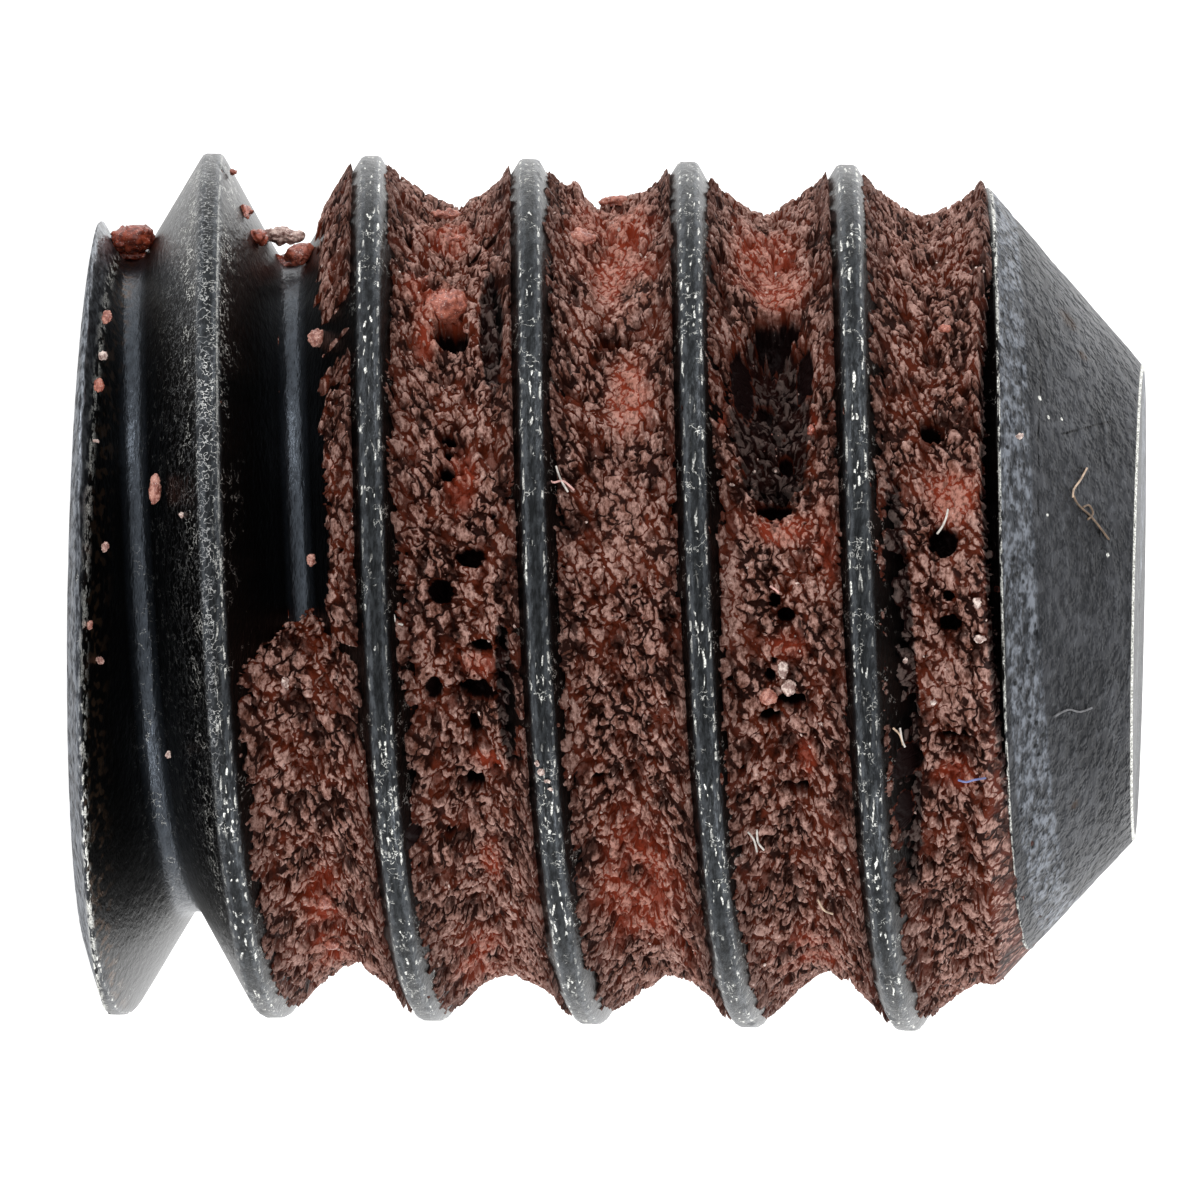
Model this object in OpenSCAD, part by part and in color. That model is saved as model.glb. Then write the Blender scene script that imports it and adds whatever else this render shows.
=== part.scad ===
// Grub set screw: a headless screw with a hex socket in one end and a flat point at the other.
// Old red-brown threadlocker still fills most of its thread.
// The screw stands on its socket end, with its axis on Z and the point up.

/* [Thread] */
// Major diameter, over the crests
major_d = 2.46; // [2.36:0.01:2.48]
// Distance from one crest to the next along the axis
pitch = 0.45; // [0.43:0.01:0.5]
// Radial depth from crest to root
thread_depth = 0.3; // [0.26:0.01:0.31]
// Width of the flat on top of each crest
crest_flat = 0.052; // [0.04:0.002:0.06]
// Height of the first groove above the socket end, on the -Y side
first_groove_z = 0.191; // [0.12:0.01:0.25]

/* [Ends] */
// Overall length
length = 2.96; // [2.8:0.02:3.2]
// Width of the chamfer round the socket end, from the crests inwards
socket_chamfer_w = 0.17; // [0.13:0.01:0.23]
// Angle between the socket end's chamfer and its face
socket_chamfer_angle = 18; // [15:1:45]
// Diameter of the flat point
point_face_d = 1.34; // [1.25:0.01:1.5]
// Angle between the cone and the screw's axis
point_cone_angle = 48; // [42:1:50]
// Height of the rounded edge between the cone and the point face
point_edge_h = 0.012; // [0.006:0.002:0.02]

/* [Hex socket] */
// Steel left between the hexagon's corners and the root of the thread
socket_wall = 0.17; // [0.15:0.01:0.22]
// Depth of the full hexagon
hex_depth = 1.25; // [1.1:0.05:1.5]
// Point angle of the drilled hole under the hexagon
drill_point_angle = 120; // [118:1:130]
// Extra radius of the countersunk mouth beyond the hexagon's corners
mouth_lead = 0.05; // [0.03:0.01:0.08]

/* [Threadlocker] */
// Share of the groove's depth that the residue fills, on average
residue_fill = 0.46; // [0.42:0.01:0.5]
// How far the fill rises and falls along the groove
fill_wave = 0.05; // [0.02:0.01:0.06]
// How far below the crests the thin film on the flanks ends
film_gap = 0.03; // [0.02:0.005:0.05]
// Turns of groove from the first one at which the residue starts
residue_start_turn = 1; // [1:1:2]
// Thickness of the film that creeps along the bare turn's flank
creep_rise = 0.03; // [0.02:0.005:0.04]
// How far the crust rises and falls between its torn places
crust_wave = 0.018; // [0.01:0.002:0.02]
// Height of the loose lumps that sit in the bare grooves
lump_rise = 0.1; // [0.06:0.01:0.12]

/* [Hidden] */

// Flat facets in one turn of thread
turn_steps = 36;
// Straight pieces in the rounded root of the groove
root_steps = 3;
// Straight pieces across the top of a deposit
top_steps = 7;
// Rings of the residue's crust for each facet of the thread
crust_rings = 2;
// How far the groove cutter stands out past the crests
cutter_margin = pitch * 0.06;
// How far cutting shapes run past the faces that they cut
past = 0.2;
// Half of the angle between the thread's flanks
flank_angle = 30;

major_r = major_d / 2;
root_r = major_r - thread_depth;
// Half of the groove's width at the crests, and the root radius that its depth then leaves
groove_half = (pitch - crest_flat) / 2;
root_round = groove_half / tan(flank_angle) - thread_depth;

socket_face_r = major_r - socket_chamfer_w;
socket_chamfer_h = socket_chamfer_w * tan(socket_chamfer_angle);
point_face_r = point_face_d / 2;
point_cone_h = (major_r - point_face_r) / tan(point_cone_angle);
// A hexagon that is 1.32 mm across its flats, for a 1.3 mm key
hex_corner_r = root_r - socket_wall;
hex_inner_r = hex_corner_r * cos(30);
drill_cone_h = hex_inner_r / tan(drill_point_angle / 2);
mouth_r = hex_corner_r + mouth_lead;

// The residue's edge on the flanks, and the shape of its hollow top: 1 is a V, 2 a round channel
film_r = major_r - film_gap;
hollow_power = 1.4;
// The rounded root ends at this radius, and no film edge comes closer to it than film_min_r
root_end_r = root_r + root_round * (1 - sin(flank_angle));
film_min_r = root_end_r + 0.05;
// How much lower the residue starts, and over how many turns that is made good
start_drop = 0.15;
start_turns = 0.08;
// Steps of the groove cutter and of the residue, which ends where the point's cone has cut the groove down
first_step = -turn_steps;
last_step = ceil((length - first_groove_z) / pitch * turn_steps);
residue_first = turn_steps * residue_start_turn;
residue_end_z = cone_foot_z(1) - (film_min_r + film_gap * 2) * cone_slope(1);
residue_last = floor((residue_end_z - first_groove_z) / pitch * turn_steps);
// Least thickness of residue that a hole leaves over the metal
least_cover = 0.02;
// The creeping film's length, and the crack between it and the ribbon, both in steps
creep_steps = 10;
creep_crack = 0.08;

// Torn holes and lumps in the crust. Each has its place in turns of groove, its place across the groove
// as a share of the width, its half length in turns, its half width as a share, and its height in mm.
SPOTS = [
    // Third turn of groove: a lump with a hole under it, and a row of gas holes
    [1.81, 0.5, 0.02, 0.3, 0.03],
    [1.862, 0.42, 0.018, 0.34, 0.06],
    [1.888, 0.55, 0.012, 0.24, -0.06],
    [1.942, 0.5, 0.014, 0.2, -0.06],
    [2.0, 0.5, 0.016, 0.3, -0.05],
    [2.04, 0.64, 0.014, 0.24, -0.05],
    [2.085, 0.54, 0.012, 0.26, -0.05],
    // Fourth turn: the smoothest, with one slit
    [2.886, 0.57, 0.012, 0.26, -0.04],
    // Fifth turn: the big cavity, and the holes below it
    [3.92, 0.5, 0.055, 0.42, -0.085],
    [4.005, 0.52, 0.012, 0.24, -0.06],
    [4.046, 0.46, 0.013, 0.3, -0.05],
    [4.103, 0.5, 0.013, 0.22, -0.06],
    // Sixth turn: round holes, and a trough beside the left flank
    [4.93, 0.51, 0.013, 0.24, -0.06],
    [4.976, 0.56, 0.013, 0.26, -0.07],
    [5.008, 0.57, 0.012, 0.2, -0.06],
    [5.07, 0.2, 0.02, 0.22, -0.05]
];
// Lumps in the bare grooves: place in turns of groove, and half length in turns
LUMPS = [[-0.25, 0.045], [0.72, 0.04], [0.82, 0.03]];

// Which points of the groove's section are the film's edges and the root's ends
left_film = 1;
left_root = 2;
right_root = left_root + root_steps;
right_film = right_root + 1;

function groove_z(step) = first_groove_z + pitch * step / turn_steps;

// A flank and the point's cone, as lines: z = cone_foot_z - groove's z - radius * cone_slope
function cone_slope(side) = 1 / tan(point_cone_angle) + side * tan(flank_angle);
function cone_foot_z(side) =
    length + point_face_r / tan(point_cone_angle) - side * (groove_half - major_r * tan(flank_angle));

// Radius of the film's edge on a flank: just under the crest, and just under the cone near the point
function film_edge_r(step, side) =
    max(film_min_r, min(film_r, (cone_foot_z(side) - groove_z(step)) / cone_slope(side) - film_gap));

function flank_point(side, r) = [side * (groove_half - (major_r - r) * tan(flank_angle)), r];

// The groove's section at a step, as [along the axis, radius], from one crest over the root to the next
function groove_section(step) = concat(
    [flank_point(-1, major_r + cutter_margin), flank_point(-1, film_edge_r(step, -1))],
    [for (k = [0:root_steps]) let (a = (90 - flank_angle) * (2 * k / root_steps - 1))
        [root_round * sin(a), root_r + root_round * (1 - cos(a))]],
    [flank_point(1, film_edge_r(step, 1)), flank_point(1, major_r + cutter_margin)]
);

// A section point, placed at a whole step along the right-handed helix. Step 0 is on the -Y side.
function ring_point(step, p) =
    let (a = 360 * step / turn_steps - 90)
    [p[1] * cos(a), p[1] * sin(a), groove_z(step) + p[0]];

// The same at any step: between two rings it lies on the straight edge that joins them
function helix_point(step, p) =
    let (low = floor(step), part = step - low)
    part == 0 ? ring_point(low, p) : ring_point(low, p) * (1 - part) + ring_point(low + 1, p) * part;

// Triangles between rings of n points each, with a flat cap at both ends
function ring_faces(n, rings) = concat(
    [for (i = [0:rings - 2], j = [0:n - 1], half = [0, 1])
        let (a = i * n + j, b = i * n + (j + 1) % n)
        half == 0 ? [a, a + n, b] : [b, a + n, b + n]],
    [[for (j = [0:n - 1]) j]],
    [[for (j = [n - 1:-1:0]) (rings - 1) * n + j]]
);

// Height of a deposit's top, from 0 at its edges to 1 in the middle
function crown(t) = 1 - pow(abs(2 * t - 1), hollow_power);

// Radius of the groove's flanks and root at a distance along the axis from its middle
function groove_r(offset) = max(root_r, major_r - (groove_half - abs(offset)) / tan(flank_angle));

// Top point of a deposit between groove points p and q, raised by rise and its crust away from the metal.
// Even a deep hole leaves some residue over the metal.
function top_point(p, q, t, rise, crust = 0) =
    let (d = q - p, out = [-d[1], d[0]] / norm(d), top = p + d * t + out * (rise + crust) * crown(t))
    [top[0], max(top[1], groove_r(top[0]) + least_cover)];

// Share of the groove's depth that is filled at a place along it
function fill_at(turn) =
    residue_fill + fill_wave * (sin(360 * turn * 0.8) + sin(360 * turn * 2.3)) / 2
    - start_drop * max(0, 1 - (turn - residue_start_turn) / start_turns);

// Height of one torn hole or lump at a place along and across the groove
function spot_height(spot, turn, t) =
    spot[4] * max(0, 1 - pow((turn - spot[0]) / spot[2], 2) - pow((t - spot[1]) / spot[3], 2));

// Height of the crust over its plain crown: slow waves, holes and lumps
function crust_at(turn, t) =
    crust_wave * (sin(360 * turn * 5.3 + 150 * t) + sin(360 * turn * 8.7 - 210 * t + 60)
        + sin(360 * turn * 17 + 300 * t)) / 2
    + max([for (spot = SPOTS) spot_height(spot, turn, t)])
    + min([for (spot = SPOTS) spot_height(spot, turn, t)]);

// A deposit that lies on groove points j0 to j1, with a ring at each of STEPS. RISES holds each ring's
// rise, and crusted adds the crust's waves, holes and lumps.
module deposit(STEPS, j0, j1, RISES, crusted = false) {
    points = [for (i = [0:len(STEPS) - 1])
        let (section = groove_section(STEPS[i]))
        each concat(
            [for (j = [j0:j1]) helix_point(STEPS[i], section[j])],
            [for (k = [top_steps - 1:-1:1])
                let (t = k / top_steps, crust = crusted ? crust_at(STEPS[i] / turn_steps, t) : 0)
                helix_point(STEPS[i], top_point(section[j0], section[j1], t, RISES[i], crust))]
        )];
    polyhedron(points, ring_faces(j1 - j0 + top_steps, len(STEPS)));
}

// The turned blank: crests, the socket end's chamfer and the point's cone
module blank() {
    rotate_extrude($fn = 96)
        polygon([
            [0, 0],
            [socket_face_r, 0],
            [major_r, socket_chamfer_h],
            [major_r, length - point_cone_h],
            [point_face_r + point_edge_h * tan(point_cone_angle), length - point_edge_h],
            [point_face_r, length],
            [0, length]
        ]);
}

// The helical groove that is cut from the blank
module thread_groove() {
    points = [for (step = [first_step:last_step]) each
        [for (p = groove_section(step)) helix_point(step, p)]];
    polyhedron(points, ring_faces(right_film + 2, last_step - first_step + 1));
}

// The hex socket, its countersunk mouth and the drilled cone at its bottom
module hex_socket() {
    translate([0, 0, -past])
        cylinder(r = hex_corner_r, h = hex_depth + past, $fn = 6);
    translate([0, 0, hex_depth])
        cylinder(r1 = hex_inner_r, r2 = 0, h = drill_cone_h, $fn = 48);
    translate([0, 0, -past])
        cylinder(r1 = mouth_r + past, r2 = 0, h = mouth_r + past, $fn = 48);
}

// The one solid steel piece
module screw_body() {
    color([0.23, 0.25, 0.27])
        difference() {
            blank();
            thread_groove();
            hex_socket();
        }
}

// The ribbon that fills the groove from the residue's first step to its last
module residue_ribbon() {
    STEPS = [for (k = [residue_first * crust_rings:residue_last * crust_rings]) k / crust_rings];
    RISES = [for (step = STEPS)
        root_r + thread_depth * fill_at(step / turn_steps)
        - (film_edge_r(step, -1) + film_edge_r(step, 1)) / 2];
    deposit(STEPS, left_film, right_film, RISES, true);
}

// The film that creeps along one flank of the bare turn, up to a crack before the ribbon
module creeping_film() {
    STEPS = [for (k = [0:creep_steps]) residue_first - creep_steps + k - (k == creep_steps ? creep_crack : 0)];
    deposit(STEPS, right_root, right_film,
        [for (k = [0:creep_steps]) creep_rise * (0.75 + 0.25 * cos(120 * k))]);
}

// A loose lump on the root of a bare groove
module loose_lump(turn, half_turns) {
    middle = round(turn * turn_steps);
    half = max(1, round(half_turns * turn_steps));
    deposit([for (k = [-half:half]) middle + k], left_root, right_root,
        [for (k = [-half:half]) lump_rise * (0.4 + 0.6 * cos(80 * k / half))]);
}

// Cured threadlocker: the helical ribbon, the film that creeps past its start and the loose lumps
module threadlocker_residue() {
    color([0.45, 0.22, 0.19]) {
        residue_ribbon();
        creeping_film();
        for (lump = LUMPS) loose_lump(lump[0], lump[1]);
    }
}

screw_body();
threadlocker_residue();
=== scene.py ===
# %% [markdown]
# # A used grub set screw, close up
#
# The object is a headless M2.5 screw, three millimetres long. It is black oxide steel, and its thread
# is still packed with old red-brown threadlocker. At this distance nothing is smooth: the steel has
# grain and bright worn edges, and the threadlocker is a crumbly, porous crust.
#
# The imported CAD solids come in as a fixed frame. They are right in size, but their facets show at this
# magnification, so finely meshed pieces replace them in exactly the same place.

# %% Load the frame
import math
from types import SimpleNamespace

import bmesh
import bpy
from mathutils import Matrix, Vector


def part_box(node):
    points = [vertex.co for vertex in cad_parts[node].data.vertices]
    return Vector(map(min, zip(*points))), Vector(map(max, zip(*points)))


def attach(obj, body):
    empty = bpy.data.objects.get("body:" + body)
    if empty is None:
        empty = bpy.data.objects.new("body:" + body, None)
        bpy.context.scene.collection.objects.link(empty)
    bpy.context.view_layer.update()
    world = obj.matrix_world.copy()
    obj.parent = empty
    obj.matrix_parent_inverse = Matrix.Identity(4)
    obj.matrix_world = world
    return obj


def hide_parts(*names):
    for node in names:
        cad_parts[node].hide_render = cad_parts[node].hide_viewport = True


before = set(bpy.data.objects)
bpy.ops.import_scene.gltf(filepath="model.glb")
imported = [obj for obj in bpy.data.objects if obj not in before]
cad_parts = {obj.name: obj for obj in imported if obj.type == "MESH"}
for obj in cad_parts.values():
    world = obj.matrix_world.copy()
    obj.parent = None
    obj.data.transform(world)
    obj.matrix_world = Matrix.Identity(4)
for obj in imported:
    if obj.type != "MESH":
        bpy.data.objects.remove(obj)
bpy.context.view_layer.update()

# %% [markdown]
# ## Sizes
#
# All sizes are in millimetres here, because a formula for a 3 mm screw is hard to read in metres. The
# pieces are scaled to metres at the end of their making. The length and the major diameter are read
# from the frame, and the other values are the ones that the thread is cut to.

# %% Driving sizes
MM = 0.001
body_low, body_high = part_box("screw_body")
LENGTH = (body_high.z - body_low.z) / MM
MAJOR_R = (body_high.x - body_low.x) / 2 / MM
PITCH = 0.45
THREAD_DEPTH = 0.30
CREST_FLAT = 0.052
FIRST_GROOVE_Z = 0.191
FLANK_ANGLE = 30
SOCKET_CHAMFER_W = 0.17
SOCKET_CHAMFER_ANGLE = 18
POINT_FACE_R = 0.67
POINT_CONE_ANGLE = 48
SOCKET_WALL = 0.17
CRUST_R = MAJOR_R - 0.15
HEX_DEPTH = 1.25
MOUTH_LEAD = 0.05

GROOVE_HALF = (PITCH - CREST_FLAT) / 2
FLANK_SLOPE = 1 / math.tan(math.radians(FLANK_ANGLE))
CONE_SLOPE = math.tan(math.radians(POINT_CONE_ANGLE))
ROOT_R = MAJOR_R - THREAD_DEPTH
SOCKET_FACE_R = MAJOR_R - SOCKET_CHAMFER_W
SOCKET_CHAMFER_H = SOCKET_CHAMFER_W * math.tan(math.radians(SOCKET_CHAMFER_ANGLE))
HEX_CORNER_R = ROOT_R - SOCKET_WALL
MOUTH_R = HEX_CORNER_R + MOUTH_LEAD
print("length", round(LENGTH, 3), "major radius", round(MAJOR_R, 3), "root radius", round(ROOT_R, 3))

# %% [markdown]
# ## The camera first
#
# The photograph was taken from the side, with the screw lying down. The model stands on its socket
# end, so here the camera is turned a quarter turn instead: the screw's axis runs to the right in the
# picture. A long lens from 48 mm away gives the photograph's faint perspective.
#
# The camera comes before the pieces, because pits, crumbs and fibres are placed where the photograph
# shows them. A ray through such a place meets a cylinder round the screw's axis, and that gives the
# turn of the groove and the distance from the groove's middle.

# %% Camera
PICTURE = 1200
PX_PER_MM = 351.864
DISTANCE_PX = 17001
AXIS_YAW = math.radians(3.079)
AXIS_ROLL = math.radians(1.094)
AIM_Z = 0.9651
SENSOR_MM = 36
CONE_STEPS = 12
CAMERA_FROM_AIM_PX = Vector((162.40, -10.83, DISTANCE_PX))

# Directions in the picture are (right, up, towards the viewer).
axis_seen = Vector((
    math.cos(AXIS_YAW) * math.cos(AXIS_ROLL),
    -math.cos(AXIS_YAW) * math.sin(AXIS_ROLL),
    math.sin(AXIS_YAW),
))
top_seen = Vector((math.sin(AXIS_ROLL), math.cos(AXIS_ROLL), 0))
near_seen = axis_seen.cross(top_seen)
screw_from_view = Matrix((-top_seen, -near_seen, axis_seen))
EYE = Vector((0, 0, AIM_Z)) + screw_from_view @ CAMERA_FROM_AIM_PX / PX_PER_MM

camera = bpy.data.objects.new("camera", bpy.data.cameras.new("camera"))
bpy.context.scene.collection.objects.link(camera)
camera.data.sensor_width = SENSOR_MM
camera.data.lens = SENSOR_MM * DISTANCE_PX / PICTURE
camera.data.clip_start = MM
camera.data.clip_end = 4
camera.matrix_world = Matrix.Translation(EYE * MM) @ screw_from_view.to_4x4()
bpy.context.scene.camera = camera
print("camera at", [round(x, 2) for x in EYE], "mm, lens", round(camera.data.lens), "mm")


# %% From the picture to the thread
def point_seen(x, y, radius):
    """The point, in mm, where the ray through a pixel first meets a cylinder of this radius."""
    ray = screw_from_view @ Vector((x - PICTURE / 2, PICTURE / 2 - y, -DISTANCE_PX))
    flat_ray = ray.xy
    flat_eye = EYE.xy
    a = flat_ray.dot(flat_ray)
    b = flat_ray.dot(flat_eye)
    c = flat_eye.dot(flat_eye) - radius * radius
    under_root = b * b - a * c
    # A ray that just misses is taken to touch the cylinder's side.
    return EYE + ray * ((-b - math.sqrt(max(0, under_root))) / a)


def thread_place(x, y, radius=CRUST_R):
    """Turn of the groove and distance from the groove's middle, in mm, for a pixel."""
    point = point_seen(x, y, radius)
    part_turn = (math.degrees(math.atan2(point.y, point.x)) + 90) / 360
    groove = round((point.z - FIRST_GROOVE_Z) / PITCH - part_turn)
    turn = groove + part_turn
    return turn, point.z - FIRST_GROOVE_Z - PITCH * turn


def cone_seen(x, y):
    """The point, in mm, where the ray through a pixel meets the point's cone."""
    radius = MAJOR_R
    # Each step brings the radius nearer to the cone's own at that place.
    for _ in range(CONE_STEPS):
        point = point_seen(x, y, radius)
        radius = POINT_FACE_R + (LENGTH - point.z) * CONE_SLOPE
    return point


print("picture's middle is at turn and offset", [round(v, 3) for v in thread_place(600, 600)])

# %% [markdown]
# ## Node maths as plain expressions
#
# Both the shapes and the materials below are node trees. Wiring Math nodes by hand hides the formula,
# so one small class wraps a socket and lets Python's own operators add the nodes. The same class works
# in a Geometry Nodes tree and in a material.


# %% Sockets that can be added and multiplied
class Value:
    """A socket's output. Arithmetic on it adds Math nodes."""

    def __init__(self, graph, socket):
        self.graph = graph
        self.socket = socket

    def math(self, operation, *others):
        return self.graph.add("ShaderNodeMath", {"operation": operation}, (self, *others))

    def __add__(self, other):
        return self.math("ADD", other)

    def __sub__(self, other):
        return self.math("SUBTRACT", other)

    def __mul__(self, other):
        return self.math("MULTIPLY", other)

    def __truediv__(self, other):
        return self.math("DIVIDE", other)

    def __pow__(self, other):
        return self.math("POWER", other)

    def __rsub__(self, other):
        return self.graph.add("ShaderNodeMath", {"operation": "SUBTRACT"}, (other, self))

    __radd__ = __add__
    __rmul__ = __mul__

    def __abs__(self):
        return self.math("ABSOLUTE")

    def rise(self, low, high):
        """0 below low and 1 above high, with a smooth step between."""
        settings = {"interpolation_type": "SMOOTHSTEP"}
        return self.graph.add("ShaderNodeMapRange", settings, (self, low, high, 0, 1))

    def near(self, middle, half_width, core=0):
        """1 within core of the middle, falling to 0 at half_width from it."""
        return 1 - abs(self - middle).rise(core, half_width)

    def between(self, off, on):
        """off where this value is 0, and on where it is 1."""
        return self.graph.add("ShaderNodeMix", {}, {0: self, 2: off, 3: on})

    def wave(self):
        """The sine of this many turns."""
        return (self * math.tau).math("SINE")

    def part(self, number):
        """X, Y or Z of a vector, as number 0, 1 or 2."""
        return self.graph.add("ShaderNodeSeparateXYZ", {}, (self,), number)

    def scaled(self, *factors):
        """A vector, multiplied by one factor or by three."""
        factors = factors * 3 if len(factors) == 1 else factors
        return self.graph.vector_math("MULTIPLY", self, factors)


class Graph:
    """A node tree, with one method that adds any node."""

    def __init__(self, tree):
        self.tree = tree

    def add(self, kind, settings=None, inputs=(), output=0):
        node = self.tree.nodes.new(kind)
        for name, setting in (settings or {}).items():
            setattr(node, name, setting)
        for key, value in inputs.items() if isinstance(inputs, dict) else enumerate(inputs):
            if isinstance(value, Value):
                self.tree.links.new(value.socket, node.inputs[key])
            else:
                node.inputs[key].default_value = value
        return None if output is None else Value(self, node.outputs[output])

    def vector(self, x, y, z):
        return self.add("ShaderNodeCombineXYZ", inputs=(x, y, z))

    def vector_math(self, operation, *inputs, output="Vector"):
        return self.add("ShaderNodeVectorMath", {"operation": operation}, inputs, output)

    def noise(self, place, scale, detail=2.0, roughness=0.5, dimensions="3D"):
        """Soft noise from about 0.2 to 0.8, with features about 1 / scale wide."""
        inputs = {"Vector": place, "Scale": scale, "Detail": detail, "Roughness": roughness}
        return self.add("ShaderNodeTexNoise", {"noise_dimensions": dimensions}, inputs)

    def cells(self, place, scale, feature="F1", dimensions="3D"):
        """Voronoi cells about 1 / scale wide: the distance from a cell's middle, or from its edge."""
        settings = {"feature": feature, "voronoi_dimensions": dimensions}
        return self.add("ShaderNodeTexVoronoi", settings, {"Vector": place, "Scale": scale}, "Distance")

    def curls(self, place, scale, width):
        """Thin curling lines, 1 along the lines and 0 between them."""
        return self.noise(place, scale, 2, 0.6).near(0.5, width)

    def greatest(self, values):
        """The greatest of some values, or 0 where there are none."""
        result = self.add("ShaderNodeValue")
        for value in values:
            result = result.math("MAXIMUM", value)
        return result

    def colour(self, share, off, on):
        """Mix two colours. Each is a value, or plain shares of red, green and blue."""
        off, on = (item if isinstance(item, Value) else (*item, 1) for item in (off, on))
        return self.add("ShaderNodeMix", {"data_type": "RGBA"}, {0: share, 6: off, 7: on}, 2)


# %% Geometry trees that become plain meshes
class ShapeGraph(Graph):
    """A Geometry Nodes tree with named sizes as its inputs."""

    def __init__(self, name, takes_mesh=False):
        super().__init__(bpy.data.node_groups.new(name, "GeometryNodeTree"))
        if takes_mesh:
            self.tree.interface.new_socket("Mesh", in_out="INPUT", socket_type="NodeSocketGeometry")
        self.group_input = self.tree.nodes.new("NodeGroupInput")
        self.tree.interface.new_socket("Geometry", in_out="OUTPUT", socket_type="NodeSocketGeometry")
        self.sizes = {}

    def mesh(self):
        return Value(self, self.group_input.outputs["Mesh"])

    def size(self, name, value):
        """A named input, with its value in mm, turns or degrees."""
        item = self.tree.interface.new_socket(name, in_out="INPUT", socket_type="NodeSocketFloat")
        self.sizes[item.identifier] = value
        return Value(self, self.group_input.outputs[name])

    def keep(self, geometry, name, value, data_type="FLOAT"):
        """Store a value on each point, for the material to read."""
        inputs = {"Geometry": geometry, "Name": name, "Value": value}
        return self.add("GeometryNodeStoreNamedAttribute", {"data_type": data_type}, inputs)

    def kept(self, name, data_type="FLOAT"):
        """Read a value that an earlier tree or the mesh code stored."""
        return self.add("GeometryNodeInputNamedAttribute", {"data_type": data_type}, {"Name": name})

    def put(self, geometry, place):
        """Move each point to a place that is given in mm."""
        inputs = {"Geometry": geometry, "Position": place.scaled(MM)}
        return self.add("GeometryNodeSetPosition", {}, inputs)

    def merge(self, geometry, distance):
        return self.add("GeometryNodeMergeByDistance", {}, {"Geometry": geometry, "Distance": distance * MM})

    def finish(self, name, geometry, material, start=None):
        """Run the tree, and return its result as an object with a plain mesh."""
        geometry = self.add("GeometryNodeRealizeInstances", {}, (geometry,))
        geometry = self.add("GeometryNodeSetMaterial", {}, {"Geometry": geometry, "Material": material})
        self.add("NodeGroupOutput", {}, (geometry,), None)
        piece = new_object(name, start or bpy.data.meshes.new(name))
        modifier = piece.modifiers.new("tree", "NODES")
        modifier.node_group = self.tree
        for identifier, value in self.sizes.items():
            modifier[identifier] = float(value)
        apply_modifier(piece, modifier)
        print(name, "has", sum(len(face.vertices) - 2 for face in piece.data.polygons), "triangles")
        return piece


def apply_modifier(piece, modifier):
    """Make the modifier's result the piece's own smooth mesh, with all values kept on its points."""
    depsgraph = bpy.context.evaluated_depsgraph_get()
    mesh = bpy.data.meshes.new_from_object(
        piece.evaluated_get(depsgraph), preserve_all_data_layers=True, depsgraph=depsgraph
    )
    piece.modifiers.remove(modifier)
    piece.data = mesh
    mesh.name = piece.name
    mesh.shade_smooth()


def new_object(name, mesh):
    piece = bpy.data.objects.new(name, mesh)
    bpy.context.scene.collection.objects.link(piece)
    return piece


def new_mesh(name, bm):
    """A mesh from a bmesh, which is freed."""
    mesh = bpy.data.meshes.new(name)
    bm.to_mesh(mesh)
    bm.free()
    return mesh


# %% Materials start the same way
class Finish(Graph):
    """A material's tree, with the place on the piece in mm."""

    def __init__(self, name):
        self.material = bpy.data.materials.new(name)
        self.material.use_nodes = True
        super().__init__(self.material.node_tree)
        self.tree.nodes.clear()
        self.place = self.add("ShaderNodeTexCoord", output="Object").scaled(1 / MM)

    def kept(self, name, output="Fac"):
        """Read a value that the piece's own tree stored on its points."""
        return self.add("ShaderNodeAttribute", {"attribute_name": name}, output=output)

    def bump(self, height, distance, strength):
        inputs = {"Strength": strength, "Distance": distance * MM, "Height": height}
        return self.add("ShaderNodeBump", {}, inputs)

    def surface(self, inputs):
        shader = self.add("ShaderNodeBsdfPrincipled", {}, inputs)
        self.add("ShaderNodeOutputMaterial", {}, (shader,), None)
        return self.material


def add_piece(piece, node):
    """A finished piece of the screw, which stands for a CAD node where one is named."""
    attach(piece, "root")
    if node:
        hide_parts(node)


# %% [markdown]
# ## The thread's section
#
# The real thread was rolled between dies that have the groove's shape, so every turn has the same
# section. It is written once, as the radius at a distance along the axis from the groove's middle:
# straight flanks, a rounded root and a slightly rounded crest. Both the steel and the threadlocker use
# it, so the one always lies on the other.

# %% Section of the thread and of the blank
ROOT_BLEND = 0.045
CREST_BLEND = 0.016
SKIN_ROOM = 0.003
# The last groove is a little wider where it runs out on the cone.
WIDE_END_Z = (2.47, 2.58)
WIDE_END_SHIFT = 0.05


def thread_radius(offset, z, major_r, root_r):
    """Radius of the steel at an offset from the groove's middle and a height, all in mm."""
    wider = z.rise(*WIDE_END_Z) * offset.math("GREATER_THAN", 0.0) * WIDE_END_SHIFT
    flank = (abs(offset) - wider - GROOVE_HALF) * FLANK_SLOPE + major_r
    rooted = flank.math("SMOOTH_MAX", root_r, ROOT_BLEND)
    return rooted.math("SMOOTH_MIN", major_r, CREST_BLEND)


def cone_radius(z, length):
    return (length - z) * CONE_SLOPE + POINT_FACE_R


def blank_radius(z, length, major_r):
    """Radius of the turned blank at a height: the socket end's chamfer, the crests, the point's cone."""
    chamfer = z * (SOCKET_CHAMFER_W / SOCKET_CHAMFER_H) + (major_r - SOCKET_CHAMFER_W)
    return chamfer.math("MINIMUM", cone_radius(z, length))


def on_helix(graph, turn, offset, radius, pitch):
    """The place, in mm, of a point of the thread. Turn 0 is the first groove on the -Y side."""
    angle = turn * math.tau - math.pi / 2
    height = turn * pitch + offset + FIRST_GROOVE_Z
    return graph.vector(radius * angle.math("COSINE"), radius * angle.math("SINE"), height)


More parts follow.
